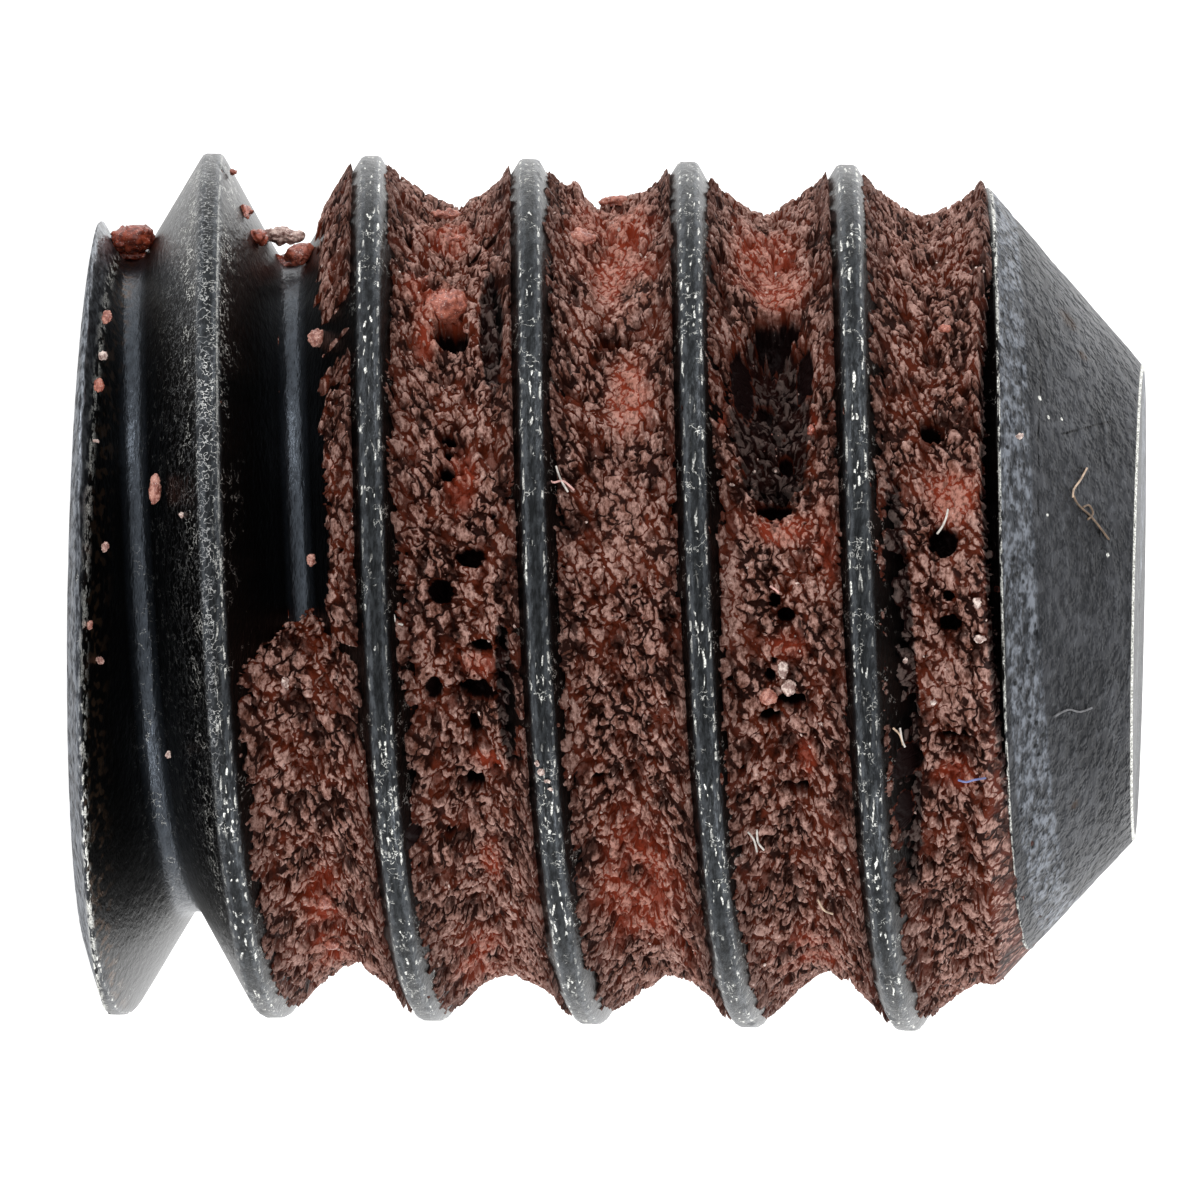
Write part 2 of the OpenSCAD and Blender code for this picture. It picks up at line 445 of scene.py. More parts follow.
# %% [markdown]
# ## The steel body
#
# A thread could be made with a Screw modifier, but its ends would then need several booleans. Here a
# flat grid is wrapped into the whole outside of the screw by a formula instead: along the grid runs the
# turn, and across it the distance from the groove's middle. Where the grid passes the screw's ends, its
# height stays at the end and its radius shrinks to nothing, which makes the flat end faces. Merging the
# doubles closes the grid into one skin.
#
# The same tree stores where each point lies across the thread, because only it knows. A plain distance
# would jump where one turn meets the next, so it is kept as the cosine and sine of an angle.

# %% Outer skin of the screw
STEPS_PER_TURN = 216
STEPS_ACROSS = 48
SKIN_FIRST_TURN = -1.5
SKIN_LAST_TURN = 7.0
TURNED_EDGE = 0.008
RIPPLE_DEPTH = 0.005
NICK_DEPTH = 0.06
NICKED_WIDTH = 0.03
FLOW_MARK_DEPTH = 0.004


def fold_over(past, room, rim_r):
    """How far the radius has shrunk, at a distance past an end face. It reaches the axis within room."""
    return past.math("MAXIMUM", 0) * (1.05 * rim_r / room)


def make_screw_skin(material):
    graph = ShapeGraph("screw skin")
    length = graph.size("Length", LENGTH)
    major_r = graph.size("Major radius", MAJOR_R - SKIN_ROOM)
    root_r = graph.size("Root radius", ROOT_R)
    pitch = graph.size("Pitch", PITCH)
    turns = SKIN_LAST_TURN - SKIN_FIRST_TURN
    grid = graph.add("GeometryNodeMeshGrid", {}, {
        "Size X": turns, "Size Y": PITCH,
        "Vertices X": round(turns * STEPS_PER_TURN) + 1, "Vertices Y": STEPS_ACROSS + 1,
    })
    place = graph.add("GeometryNodeInputPosition")
    turn = place.part(0) + (SKIN_FIRST_TURN + SKIN_LAST_TURN) / 2
    offset = place.part(1)

    # One row of the grid just past each end is put exactly on the rim, so that the rim is sharp.
    row = PITCH / STEPS_ACROSS
    raw_z = turn * pitch + offset + FIRST_GROOVE_Z
    z = raw_z.math("MAXIMUM", 0).math("MINIMUM", length)
    low_room = -(FIRST_GROOVE_Z + PITCH * (SKIN_FIRST_TURN + 0.5)) - row
    high_room = FIRST_GROOVE_Z + PITCH * (SKIN_LAST_TURN - 0.5) - LENGTH - row
    shrink = (fold_over(0 - raw_z - row, low_room, SOCKET_FACE_R)
              + fold_over(raw_z - length - row, high_room, POINT_FACE_R))
    end_offset = (z - turn * pitch - FIRST_GROOVE_Z).math("WRAP", PITCH / 2, -PITCH / 2)
    thread = thread_radius(end_offset, z, major_r, root_r)
    blank = blank_radius(z, length, major_r)
    radius = thread.math("SMOOTH_MIN", blank, TURNED_EDGE)

    # The rolled skin is slightly uneven, its crest edges have small nicks, and the cone has flow marks.
    angle = turn * math.tau
    around = graph.vector(angle.math("COSINE") * 1.2, angle.math("SINE") * 1.2, raw_z)
    near_crest = abs(end_offset).near(GROOVE_HALF, NICKED_WIDTH)
    on_cone = (thread - blank).rise(0, 0.02)
    ripple = graph.noise(around, 14, 3) - 0.5
    nicks = (graph.noise(around, 60, 2) - 0.55).math("MAXIMUM", 0) * near_crest
    flow = graph.curls(around, 13, 0.10) * on_cone
    radius = radius + ripple * RIPPLE_DEPTH - nicks * NICK_DEPTH - flow * FLOW_MARK_DEPTH
    radius = radius.math("MINIMUM", major_r + SKIN_ROOM * 0.8)
    radius = (radius - shrink).math("MAXIMUM", 0)

    phase = end_offset * (math.tau / PITCH)
    phase_vector = graph.vector(phase.math("COSINE"), phase.math("SINE"), 0.0)
    geometry = graph.keep(grid, "thread_phase", phase_vector, "FLOAT_VECTOR")
    geometry = graph.keep(geometry, "past_cone", thread - blank)
    flat_angle = angle - math.pi / 2
    wrapped = graph.vector(radius * flat_angle.math("COSINE"), radius * flat_angle.math("SINE"), z)
    return graph.finish("screw_steel", graph.merge(graph.put(geometry, wrapped), 1e-4), material)


# %% [markdown]
# ## The hex socket
#
# A hex socket is drilled, countersunk and then broached. Seen from the camera it is hidden, but the
# part is looked at from all sides. One closed tool has all three shapes, and a boolean cuts it out of
# the skin, as the broach does.

# %% Hex socket tool
HEX_COLUMNS = 96
TOOL_PAST = 0.2


def make_socket_tool():
    inner_r = HEX_CORNER_R * math.cos(math.radians(30))
    cone_h = inner_r / math.tan(math.radians(60))
    bm = bmesh.new()
    rings = []
    for column in range(HEX_COLUMNS):
        angle = math.tau * column / HEX_COLUMNS
        from_flat = math.radians(30) - angle % math.radians(60)
        hex_r = inner_r / math.cos(from_flat)
        profile = (
            (MOUTH_R + TOOL_PAST, -TOOL_PAST),
            (hex_r, MOUTH_R - hex_r),
            (hex_r, HEX_DEPTH),
            (inner_r, HEX_DEPTH),
        )
        rings.append([
            bm.verts.new(Vector((r * math.cos(angle), r * math.sin(angle), z)) * MM) for r, z in profile
        ])
    bottom = bm.verts.new(Vector((0, 0, HEX_DEPTH + cone_h)) * MM)
    mouth = bm.verts.new(Vector((0, 0, -TOOL_PAST)) * MM)
    for column, ring in enumerate(rings):
        following = rings[(column + 1) % HEX_COLUMNS]
        for low in range(len(ring) - 1):
            bm.faces.new((ring[low], ring[low + 1], following[low + 1], following[low]))
        bm.faces.new((ring[-1], bottom, following[-1]))
        bm.faces.new((ring[0], following[0], mouth))
    bmesh.ops.remove_doubles(bm, verts=bm.verts, dist=1e-4 * MM)
    bmesh.ops.recalc_face_normals(bm, faces=bm.faces)
    return new_object("socket tool", new_mesh("socket tool", bm))


def cut_socket(screw):
    tool = make_socket_tool()
    modifier = screw.modifiers.new("socket", "BOOLEAN")
    modifier.object = tool
    modifier.operation = "DIFFERENCE"
    modifier.solver = "MANIFOLD"
    apply_modifier(screw, modifier)
    bpy.data.objects.remove(tool)
    return screw


def report_closed(piece):
    """Print how many edges don't have exactly two faces, and make sure that faces point outwards."""
    bm = bmesh.new()
    bm.from_mesh(piece.data)
    volume = bm.calc_volume(signed=True)
    if volume < 0:
        bmesh.ops.reverse_faces(bm, faces=bm.faces)
        bm.to_mesh(piece.data)
    open_edges = sum(1 for edge in bm.edges if len(edge.link_faces) != 2)
    print(piece.name, "volume", round(abs(volume) * 1e9, 4), "mm3, open edges", open_edges)
    bm.free()


# %% [markdown]
# ## Black oxide, worn at the edges
#
# Black oxide is a thin conversion layer. In the grooves it is still almost black, and on the flanks it is
# made darker still as a painted dark reflection, while the roots are painted a paler blue-grey as a
# painted reflection of the light in front. Along the crests it has been rubbed to a blue-grey, with a
# smoother middle and fuzzy, paler edges, and thin rows of bright flecks show where it has gone. Glints
# on the flanks are painted highlights. The chamfer at the socket end is a streaked grey, and its edge
# and the rim of the point are worn white.
#
# All of this follows the thread, so the material works out its place across the thread from the stored
# angle, and picks each zone by that distance. Noise on the object's own coordinates breaks the zones up.

# %% Marks on the cone, where the photograph shows them
CONE_BAND_FROM_X = 1004
CONE_BAND_TO_X = 1038
# Stains and bright specks: pixel place and half size in pixels
CONE_DIRT = {
    "upper stain": (1069, 320, 17),
    "stain under it": (1083, 355, 9),
    "lower spot": (1075, 805, 7),
}
CONE_SPECKS = {
    "right of the scratch's end": (1049, 417, 2.5),
    "above the scratch": (1062, 419, 2.0),
    "on the band's line": (1040, 398, 3.0),
    "near the lower rim": (1108, 555, 2.5),
    "lower": (1048, 515, 2.0),
}
# Scratches: the pixels of both ends
CONE_SCRATCHES = {
    "across the cone": ((1062, 434), (1112, 421)),
    "beside the band, upper": ((1037, 322), (1041, 375)),
    "beside the band, middle": ((1041, 375), (1038, 435)),
    "beside the band, lower": ((1038, 435), (1038, 520)),
}


def cone_spots(graph, place, spots, bend, full, none):
    """1 inside the spots, and 0 outside them. bend moves their edges."""
    distances = (
        graph.vector_math("DISTANCE", place, tuple(cone_seen(x, y)), output="Value") * (PX_PER_MM / size)
        for x, y, size in spots.values()
    )
    return graph.greatest(1 - (distance + bend).rise(full, none) for distance in distances)


def distance_to_line(graph, place, start, end):
    """Distance from the straight piece between two points, all in mm."""
    along = end - start
    from_start = graph.vector_math("SUBTRACT", place, tuple(start))
    dot = graph.vector_math("DOT_PRODUCT", from_start, tuple(along / along.length_squared), output="Value")
    share = dot.math("MAXIMUM", 0).math("MINIMUM", 1)
    foot = graph.vector(share * along.x, share * along.y, share * along.z)
    return graph.vector_math("DISTANCE", from_start, foot, output="Value")


# %% Colours of the steel: one, or a darker and a paler one that the grain mixes
# DARK_FLANK is the black oxide made darker as a painted dark reflection; the root pair is a painted
# reflection of the light in front.
DARK_FLANK = (0.0035, 0.0033, 0.0032)
PAINTED_ROOT_REFLECTION = ((0.026, 0.030, 0.036), (0.062, 0.072, 0.086))
CREST_EDGE = ((0.024, 0.026, 0.029), (0.066, 0.072, 0.079))
CREST_MIDDLE = ((0.011, 0.012, 0.013), (0.030, 0.033, 0.036))
RUSTED_CREST = (0.230, 0.235, 0.240)
GROOVE_DIRT = (0.085, 0.050, 0.030)
CHAMFER = ((0.045, 0.048, 0.055), (0.22, 0.235, 0.26))
CONE = ((0.030, 0.031, 0.034), (0.056, 0.058, 0.064))
CONE_STREAK = (0.11, 0.115, 0.125)
CONE_BAND = (0.185, 0.200, 0.228)
LEATHER_CRACK = (0.014, 0.015, 0.017)
CONE_DIMPLE = (0.014, 0.015, 0.016)
CONE_STAIN = (0.030, 0.016, 0.009)
SCRATCH = (0.006, 0.006, 0.007)
# This white paints the worn places, and on the flanks it paints the glints as painted highlights.
WORN_AND_GLINT_BRIGHT = ((0.34, 0.34, 0.32), (0.95, 0.95, 0.90))


# %% Steel: the zones and the grain that all its colours share
def steel_zones(graph):
    """Where each zone of the screw's skin lies, in mm across and along the thread, and its grain."""
    place = graph.place
    skin = SimpleNamespace(place=place, z=place.part(2))
    skin.phase = graph.kept("thread_phase", "Vector")
    skin.offset = skin.phase.part(1).math("ARCTAN2", skin.phase.part(0)) * (PITCH / math.tau)
    skin.across = abs(skin.offset)
    skin.from_crest = PITCH / 2 - skin.across
    skin.past_cone = graph.kept("past_cone")
    skin.on_cone = skin.past_cone.rise(0.000, 0.010)

    # Grain along the thread, fine grain, curling ridges of oxide, slow clouds, and the cone's leather
    skin.streaks = graph.noise(place.scaled(0.3, 0.3, 1), 90, 2, 0.65)
    skin.fine = graph.noise(place, 200, 1)
    skin.curls = graph.curls(place, 46, 0.032)
    skin.sparse = graph.noise(place, 34, 1)
    skin.cloud = graph.noise(place, 6, 1)
    skin.patches = graph.noise(place.scaled(0.6, 0.6, 1), 16, 1).rise(0.42, 0.58)
    skin.leather = graph.noise(place.scaled(0.7, 0.7, 1.2), 34, 2, 0.6).rise(0.36, 0.60)

    skin.ragged = (skin.fine - 0.5) * 0.012
    skin.on_crest = (skin.across + skin.ragged).rise(GROOVE_HALF - 0.016, GROOVE_HALF + 0.002)
    skin.on_root = 1 - (skin.across + skin.ragged).rise(0.030, 0.046)
    skin.first_crest = (1 - skin.z.rise(0.40, 0.46)) * skin.z.rise(0.15, 0.24)
    return skin


# %% Steel: the thread, the cone and the worn places
def thread_colour(graph, skin):
    """Roots painted pale as a painted reflection, flanks darkened as a painted dark reflection, fuzzy pale
    crest edges.
    """
    middle = 1 - (skin.from_crest + skin.ragged).rise(0.008, 0.018)
    edge = graph.colour(skin.streaks.rise(0.35, 0.65), *CREST_EDGE)
    crest = graph.colour(middle, edge, graph.colour(skin.streaks.rise(0.35, 0.7), *CREST_MIDDLE))
    # The root's pale blue-grey, paler on its right side, is a painted reflection.
    root = graph.colour((skin.streaks * 0.6 + skin.offset * 4 + 0.2).rise(0.3, 0.8), *PAINTED_ROOT_REFLECTION)
    base = graph.colour(skin.on_root, DARK_FLANK, root)
    base = graph.colour(skin.on_crest, base, crest)
    rusty = skin.first_crest * skin.curls * (skin.on_crest * 0.50 + skin.offset.rise(0.06, 0.13))
    return graph.colour(rusty, base, RUSTED_CREST)


def thread_wear_and_glints(graph, skin):
    """Rows of worn flecks along the crests, and painted highlights on the flanks, most beside the first
    crest.
    """
    wander = (graph.noise(skin.place, 9, 1) - 0.5) * 0.05
    rows = graph.greatest((
        (skin.from_crest - wander).near(0.006, 0.005, 0.001) * skin.cloud.rise(0.42, 0.55),
        skin.from_crest.near(0.026, 0.005, 0.001) * (0.3 + skin.patches * 0.7),
    ))
    flecks = rows * graph.noise(skin.place.scaled(0.35, 0.35, 1), 95, 1).rise(0.55, 0.60)
    # The glints on the flanks are painted highlights.
    zone = skin.across.rise(0.10, 0.175) * (skin.patches * 0.85 + skin.first_crest * 0.6)
    glints = skin.curls * (skin.sparse - (1 - zone) * 0.3).rise(0.42, 0.54)
    glints = glints * zone * (1 - skin.on_root) * (0.75 - skin.first_crest * skin.on_crest * 0.5)
    few = skin.curls * (skin.sparse - 0.10).rise(0.44, 0.50) * 0.35
    line = skin.from_crest.near(0.027, 0.004, 0.001) * (1 - skin.offset.rise(-0.02, 0.0)) * 0.35
    on_first = few.math("MAXIMUM", line * skin.streaks.rise(0.36, 0.50)) * skin.first_crest
    return graph.greatest((flecks * (1 - skin.first_crest), glints, on_first)) * (1 - skin.on_cone)


def cone_colour(graph, skin):
    """A leathery dark surface with a paler dimpled band beside the last groove, stains and scratches."""
    band_start = cone_seen(CONE_BAND_FROM_X, PICTURE / 2)
    band_end = cone_seen(CONE_BAND_TO_X, PICTURE / 2)
    band_middle = ((band_start.z + band_end.z) / 2 - FIRST_GROOVE_Z) / PITCH * math.tau
    band_half = (band_end.z - band_start.z) / 2 / PITCH * math.tau
    beside = skin.phase.part(0) * math.cos(band_middle) + skin.phase.part(1) * math.sin(band_middle)
    band = beside.rise(math.cos(band_half * 1.1), math.cos(band_half * 0.85))
    dimples = 1 - graph.cells(skin.place.scaled(1, 1, 0.8), 30).rise(0.12, 0.30)
    cone = graph.colour(skin.cloud.rise(0.3, 0.7), *CONE)
    cone = graph.colour(skin.streaks.rise(0.50, 0.70) * 0.5, cone, CONE_STREAK)
    cone = graph.colour(band * skin.streaks.rise(0.34, 0.60), cone, CONE_BAND)
    cone = graph.colour((1 - skin.leather) * (0.55 + band * 0.25), cone, LEATHER_CRACK)
    cone = graph.colour(dimples * (band * 0.75 + 0.15), cone, CONE_DIMPLE)
    dirt = cone_spots(graph, skin.place, CONE_DIRT, (skin.fine - 0.5) * 1.5, 0.4, 1.0)
    cone = graph.colour(dirt * 0.85, cone, CONE_STAIN)
    bent = graph.vector_math("ADD", skin.place, graph.vector(0, 0, (skin.sparse - 0.5) * 0.02))
    scratch = graph.greatest(
        1 - distance_to_line(graph, bent, cone_seen(*start), cone_seen(*end)).rise(0.0015, 0.0055)
        for start, end in CONE_SCRATCHES.values()
    )
    return graph.colour(scratch, cone, SCRATCH)


def worn_edges(graph, skin):
    """The chamfer's edge, the line where the last groove runs out, the point's rim, and specks."""
    chamfer = skin.z.near(SOCKET_CHAMFER_H, 0.016) * skin.streaks.rise(0.47, 0.55)
    near_point = skin.z.rise(LENGTH - 0.80, LENGTH - 0.62)
    runout = skin.past_cone.near(0.007, 0.015) * near_point * skin.streaks.rise(0.42, 0.52)
    from_axis = graph.vector_math("LENGTH", skin.place.scaled(1, 1, 0), output="Value")
    rim = from_axis.rise(POINT_FACE_R - 0.014, POINT_FACE_R - 0.010) * skin.streaks.rise(0.25, 0.40)
    rim = rim * skin.z.rise(LENGTH - 0.008, LENGTH - 0.005)
    specks = cone_spots(graph, skin.place, CONE_SPECKS, 0.0, 0.6, 1.1)
    return graph.greatest((chamfer, runout, rim, specks))


# %% Steel material
def make_steel():
    graph = Finish("black oxide steel")
    skin = steel_zones(graph)
    on_chamfer = 1 - skin.z.rise(SOCKET_CHAMFER_H - 0.010, SOCKET_CHAMFER_H + 0.003)
    # bright holds the worn places and the painted highlights on the flanks.
    bright = thread_wear_and_glints(graph, skin).math("MAXIMUM", worn_edges(graph, skin))
    beside_chamfer = skin.z.near(0.085, 0.045) * (1 - skin.on_crest) * skin.sparse.rise(0.50, 0.62)
    base = graph.colour(skin.on_cone, thread_colour(graph, skin), cone_colour(graph, skin))
    base = graph.colour(on_chamfer, base, graph.colour(skin.streaks.rise(0.35, 0.65), *CHAMFER))
    base = graph.colour(bright, base, graph.colour(skin.fine.rise(0.35, 0.65), *WORN_AND_GLINT_BRIGHT))
    base = graph.colour(beside_chamfer * 0.8, base, GROOVE_DIRT)
    height = skin.streaks * 0.7 + skin.leather * skin.on_cone * 1.8
    return graph.surface({
        "Base Color": base, "Metallic": 0.93,
        "Roughness": 0.36 + skin.on_cone * 0.12 + bright * 0.15 - skin.on_root * 0.04,
        "Normal": graph.bump(height, 0.006, 0.8),
    })


STEEL = make_steel()
screw = cut_socket(make_screw_skin(STEEL))
report_closed(screw)
add_piece(screw, "screw_body")

# %% [markdown]
# ## Old threadlocker
#
# Threadlocker is a liquid that cures between the threads. When the screw is taken out, the cured resin
# tears: most of it stays in the groove as a porous, granular crust, which has shrunk away from the
# crests in places and has gas holes in it. It is a strip that follows the groove, so it is made by
# rule too: a grid wrapped round the strip's own section, whose top is pushed in and out by noise.
#
# The places of the larger holes and of the redder, less weathered patches come from the photograph.
# Each is a named pixel place with its half width and half height in pixels, and it is turned into a
# place along the groove.

# %% Holes, red patches and smooth patches
HOLES = {
    "under the red lump": (452, 339, 17, 12),
    "three in a row, top": (448, 437, 7, 7),
    "three in a row, middle": (448, 451, 4, 5),
    "three in a row, bottom": (446, 470, 7, 7),
    "wide one in the third groove": (470, 557, 14, 9),
    "left one in the third groove": (440, 592, 11, 12),
    "right one in the third groove": (482, 647, 10, 6),
    "low one in the third groove": (478, 692, 18, 10),
    "beside the low one": (434, 689, 8, 10),
    "dark pit in the third groove": (474, 730, 6, 10),
    "torn one in the third groove": (474, 786, 12, 9),
    "small one in the third groove": (414, 815, 8, 9),
    "last one in the third groove": (452, 828, 6, 5),
    "slit in the fourth groove": (616, 338, 17, 4),
    "small one in the fourth groove": (600, 772, 7, 5),
    "red slot in the fourth groove": (692, 940, 5, 14),
    "mouth of the big cavity": (776, 328, 23, 17),
    "left of the big cavity": (742, 380, 11, 30),
    "right of the big cavity": (805, 372, 8, 26),
    "middle of the big cavity": (765, 395, 9, 9),
    "low in the big cavity": (785, 455, 7, 9),
    "foot of the big cavity": (775, 509, 17, 9),
    "upper pair, left": (774, 600, 5, 7),
    "upper pair, right": (785, 615, 8, 7),
    "beside the pale chip": (770, 675, 5, 7),
    "under the pale chip": (792, 700, 14, 7),
    "below the pair": (770, 714, 10, 6),
    "low one in the fifth groove": (800, 790, 14, 5),
    "first in the sixth groove": (931, 430, 12, 10),
    "largest in the sixth groove": (943, 541, 14, 14),
    "above the lower one": (948, 595, 5, 5),
    "lower one in the sixth groove": (950, 624, 10, 8),
    "trough in the sixth groove": (909, 757, 14, 15),
    "lower end of the trough": (905, 800, 8, 16),
    "beside the trough": (958, 738, 18, 4),
    "low one in the sixth groove": (976, 866, 9, 6),
}
RED_PATCHES = {
    "top of the third groove": (447, 236, 26, 22),
    "around the upper lump": (432, 312, 30, 30),
    "under the lump": (428, 345, 14, 26),
    "beside the three holes": (462, 480, 18, 34),
    "low in the third groove": (492, 862, 12, 26),
    "rim of the third groove's hole": (478, 664, 18, 14),
    "over the torn hole": (488, 762, 18, 10),
    "foot of the third groove": (480, 955, 26, 20),
    "top of the fourth groove": (612, 240, 44, 44),
    "upper fourth groove": (625, 285, 34, 26),
    "middle of the fourth groove": (630, 395, 24, 40),
    "low in the fourth groove": (640, 890, 44, 70),
    "slot at the fourth groove's edge": (692, 940, 9, 22),
    "top of the fifth groove": (765, 262, 34, 42),
    "flap over the cavity": (772, 296, 38, 24),
    "left of the cavity": (722, 435, 6, 14),
    "right of the cavity": (812, 430, 7, 14),
    "band under the big cavity": (780, 532, 40, 16),
    "edge under the big cavity": (828, 545, 12, 40),
    "over the pale chip": (788, 645, 22, 16),
    "low in the fifth groove": (806, 755, 12, 22),
    "foot of the fifth groove": (810, 950, 34, 22),
    "sixth groove": (952, 496, 30, 32),
    "low in the sixth groove": (955, 775, 22, 16),
    "foot of the second groove": (325, 905, 22, 34),
    "foot of the second groove, lower": (335, 955, 26, 20),
}
SMOOTH_PATCHES = {
    "flap over the cavity": (772, 290, 38, 30),
    "skin in the sixth groove": (950, 492, 32, 36),
    "upper fourth groove": (622, 290, 34, 40),
    "middle of the fourth groove": (626, 400, 24, 60),
    "fourth groove": (624, 520, 26, 70),
    "band under the big cavity": (775, 535, 30, 18),
    "sixth groove": (950, 575, 16, 24),
    "low in the sixth groove": (950, 690, 26, 40),
    "beside the three holes": (428, 450, 12, 22),
    "left of the third groove": (425, 660, 10, 40),
    "fifth groove's left side": (735, 600, 12, 60),
}
# The fifth value of a lump or a hollow is its height or depth in mm. The sixth value of a hollow is 1
# where resin still covers its bottom, and 0 where the steel shows.
LUMPS = {
    "around the upper lump": (436, 302, 30, 28, 0.045),
    "top of the third groove": (447, 236, 24, 16, 0.035),
    "left of the big cavity's mouth": (740, 300, 22, 20, 0.030),
    "third groove's low grains": (455, 860, 36, 40, 0.020),
    "fifth groove's low grains": (780, 660, 30, 30, 0.016),
    "top of the fourth groove": (618, 200, 26, 10, 0.025),
    "left of the fourth groove's top": (576, 196, 10, 16, 0.030),
    "sixth groove's right side": (956, 650, 24, 150, 0.014),
}
HOLLOWS = {
    "big cavity": (771, 412, 42, 98, 0.085, 1),
    "sixth groove's left side": (903, 690, 15, 210, 0.040, 0),
    "sixth groove's right side": (1003, 560, 20, 340, 0.140, 0),
    "third groove's right side": (506, 690, 10, 70, 0.045, 0),
    "third groove's upper right": (492, 340, 12, 60, 0.030, 0),
}


def spots_between(spots, first_turn, last_turn, margin=0.1):
    """The spots that lie on one stretch of the groove, or within a margin of turns beside it."""
    turns = {name: thread_place(x, y)[0] for name, (x, y, *_) in spots.items()}
    return [spots[name] for name, turn in turns.items() if first_turn - margin < turn < last_turn + margin]


def oval(turn, offset, x, y, half_wide, half_high):
    """Distance from a place in the photograph, as a share of its size: 1 is at its edge."""
    place_turn, place_offset = thread_place(x, y)
    # Towards the top and bottom of the picture the surface turns away, which makes places look lower.
    facing = max(0.2, math.cos(math.tau * (place_turn - round(place_turn))))
    along = (turn - place_turn) * (math.tau * CRUST_R * PX_PER_MM * facing / half_high)
    across = (offset - place_offset) * (PX_PER_MM / half_wide)
    return (along * along + across * across).math("SQRT")


# %% [markdown]
# ## The crust's pattern
#
# Close up, the crust is made of flat plates, a few hundredths of a millimetre wide and longer along the
# groove, with cracks between them and smaller chips on them. Here and there a whole cluster is torn
# out. The mesh can't hold the finest of these, so one function gives the pattern, and two trees use it:
# the mesh is pushed out by it, and the material draws the same plates again with more detail.


# %% Plates, chips and torn places
BENDS_PER_MM = 26
PLATES_PER_MM = 28
CHIPS_PER_MM = 66
TORN_PER_MM = 19


def crust_pattern(graph, along, offset):
    """Plates, chips and torn places, each from 0 to 1, at a place on the strip in mm."""
    bend = graph.noise(graph.vector(along, offset, 0.0), BENDS_PER_MM, 1, 0.5, "2D") - 0.5
    plate_place = graph.vector(along * 0.50 + bend * 0.05, offset + bend * 0.06, 0.0)
    plates = graph.cells(plate_place, PLATES_PER_MM, "DISTANCE_TO_EDGE", "2D").rise(0.03, 0.22)
    chip_place = graph.vector(along * 0.60 - bend * 0.05, offset + bend * 0.05, 0.0)
    chips = graph.cells(chip_place, CHIPS_PER_MM, "DISTANCE_TO_EDGE", "2D").rise(0.02, 0.26)
    torn_place = graph.vector(along * 0.45 + 7, offset, 0.0)
    torn = graph.noise(torn_place, TORN_PER_MM, 2, 0.65, "2D").rise(0.52, 0.60)
    return plates, chips, torn


# %% The strip of threadlocker
RESIDUE_FIRST_TURN = 0.66
RESIDUE_FILL_TURN = 1.01
RESIDUE_LAST_TURN = 5.36
RESIDUE_PIECES = 4
RESIDUE_STEPS = 1480
RESIDUE_ROWS = 62
RESIDUE_TOP = 0.86
RESIDUE_HALF = GROOVE_HALF - 0.001
RESIDUE_SUNK = 0.012
FILL_SHARE = 0.46
FILL_WAVE = 0.05
START_DROP = 0.15
START_TURNS = 0.08
CRUST_WAVE = 0.018
FILM_GAP = 0.03
HOLLOW_POWER = 1.4
FILM_HALF = GROOVE_HALF - FILM_GAP / FLANK_SLOPE
CREEP_H = 0.030
CREEP_EDGES = (0.078, 0.172)
TORN_WALL_DEPTH = 0.14
SLOW_WAVE = 0.035
PLATE_H = 0.015
CHIP_H = 0.006
TORN_PLATE_DEPTH = 0.026
CRUST_LOW = 0.012
RUBBLE_H = 0.060
HOLE_DEPTH = 0.11
SKIN_OVER_STEEL = (-0.010, 0.004)
UNDER_CREST = 0.004


def crown_radius(turn, offset, major_r, root_r, fill_share):
    """Radius of the strip's top before it tore: hollow across the groove, and waving along it."""
    share = offset * (0.5 / FILM_HALF) + 0.5
    crown = (1 - abs(share * 2 - 1) ** HOLLOW_POWER).math("MAXIMUM", 0)
    slow = ((turn * 0.8).wave() + (turn * 2.3).wave()) * (FILL_WAVE / 2)
    start_low = (1 - (turn - 1) / START_TURNS).math("MAXIMUM", 0) * START_DROP
    fill = root_r + (fill_share + slow - start_low) * THREAD_DEPTH
    waves = ((turn * 5.3 + share * 0.42).wave() + (turn * 8.7 - share * 0.58 + 0.17).wave()
             + (turn * 17 + share * 0.83).wave()) * (CRUST_WAVE / 2)
    film_r = major_r - FILM_GAP
    return film_r + (fill - film_r + waves) * crown


def torn_wall(graph, along, offset, ragged):
    """1 where the strip has shrunk and torn away from a flank, which it has done more on the left."""
    on_left = offset.math("LESS_THAN", 0.0)
    tear = graph.noise(graph.vector(along, on_left * 7.0, 0.0), 2.2, 4, 0.6)
    widest = on_left.between(0.20, 0.12)
    gap = (tear - on_left.between(0.42, 0.47)).math("MAXIMUM", 0) * widest + 0.012 - on_left * 0.008
    return (abs(offset) - FILM_HALF + gap + ragged * 0.035).rise(0, 0.014)


def creeping_film(graph, turn, along, offset, ragged):
    """1 on the ragged, broken film that creeps along the right flank before the fill starts."""
    low, high = CREEP_EDGES
    wavy = graph.noise(graph.vector(along, 2.0, 0.0), 7, 4, 0.65) - 0.5
    broken = graph.noise(graph.vector(along, 5.0, 0.0), 4.5, 3, 0.6).rise(0.44, 0.40)
    fade = (turn - RESIDUE_FIRST_TURN).rise(0.0, 0.08) * (1 - broken * (turn - 0.86).rise(0.0, 0.03))
    left_edge = low + wavy * 0.14 + ragged * 0.03
    return (offset - left_edge).rise(0.0, 0.014) * (high - offset).rise(-0.01, 0.008) * fade


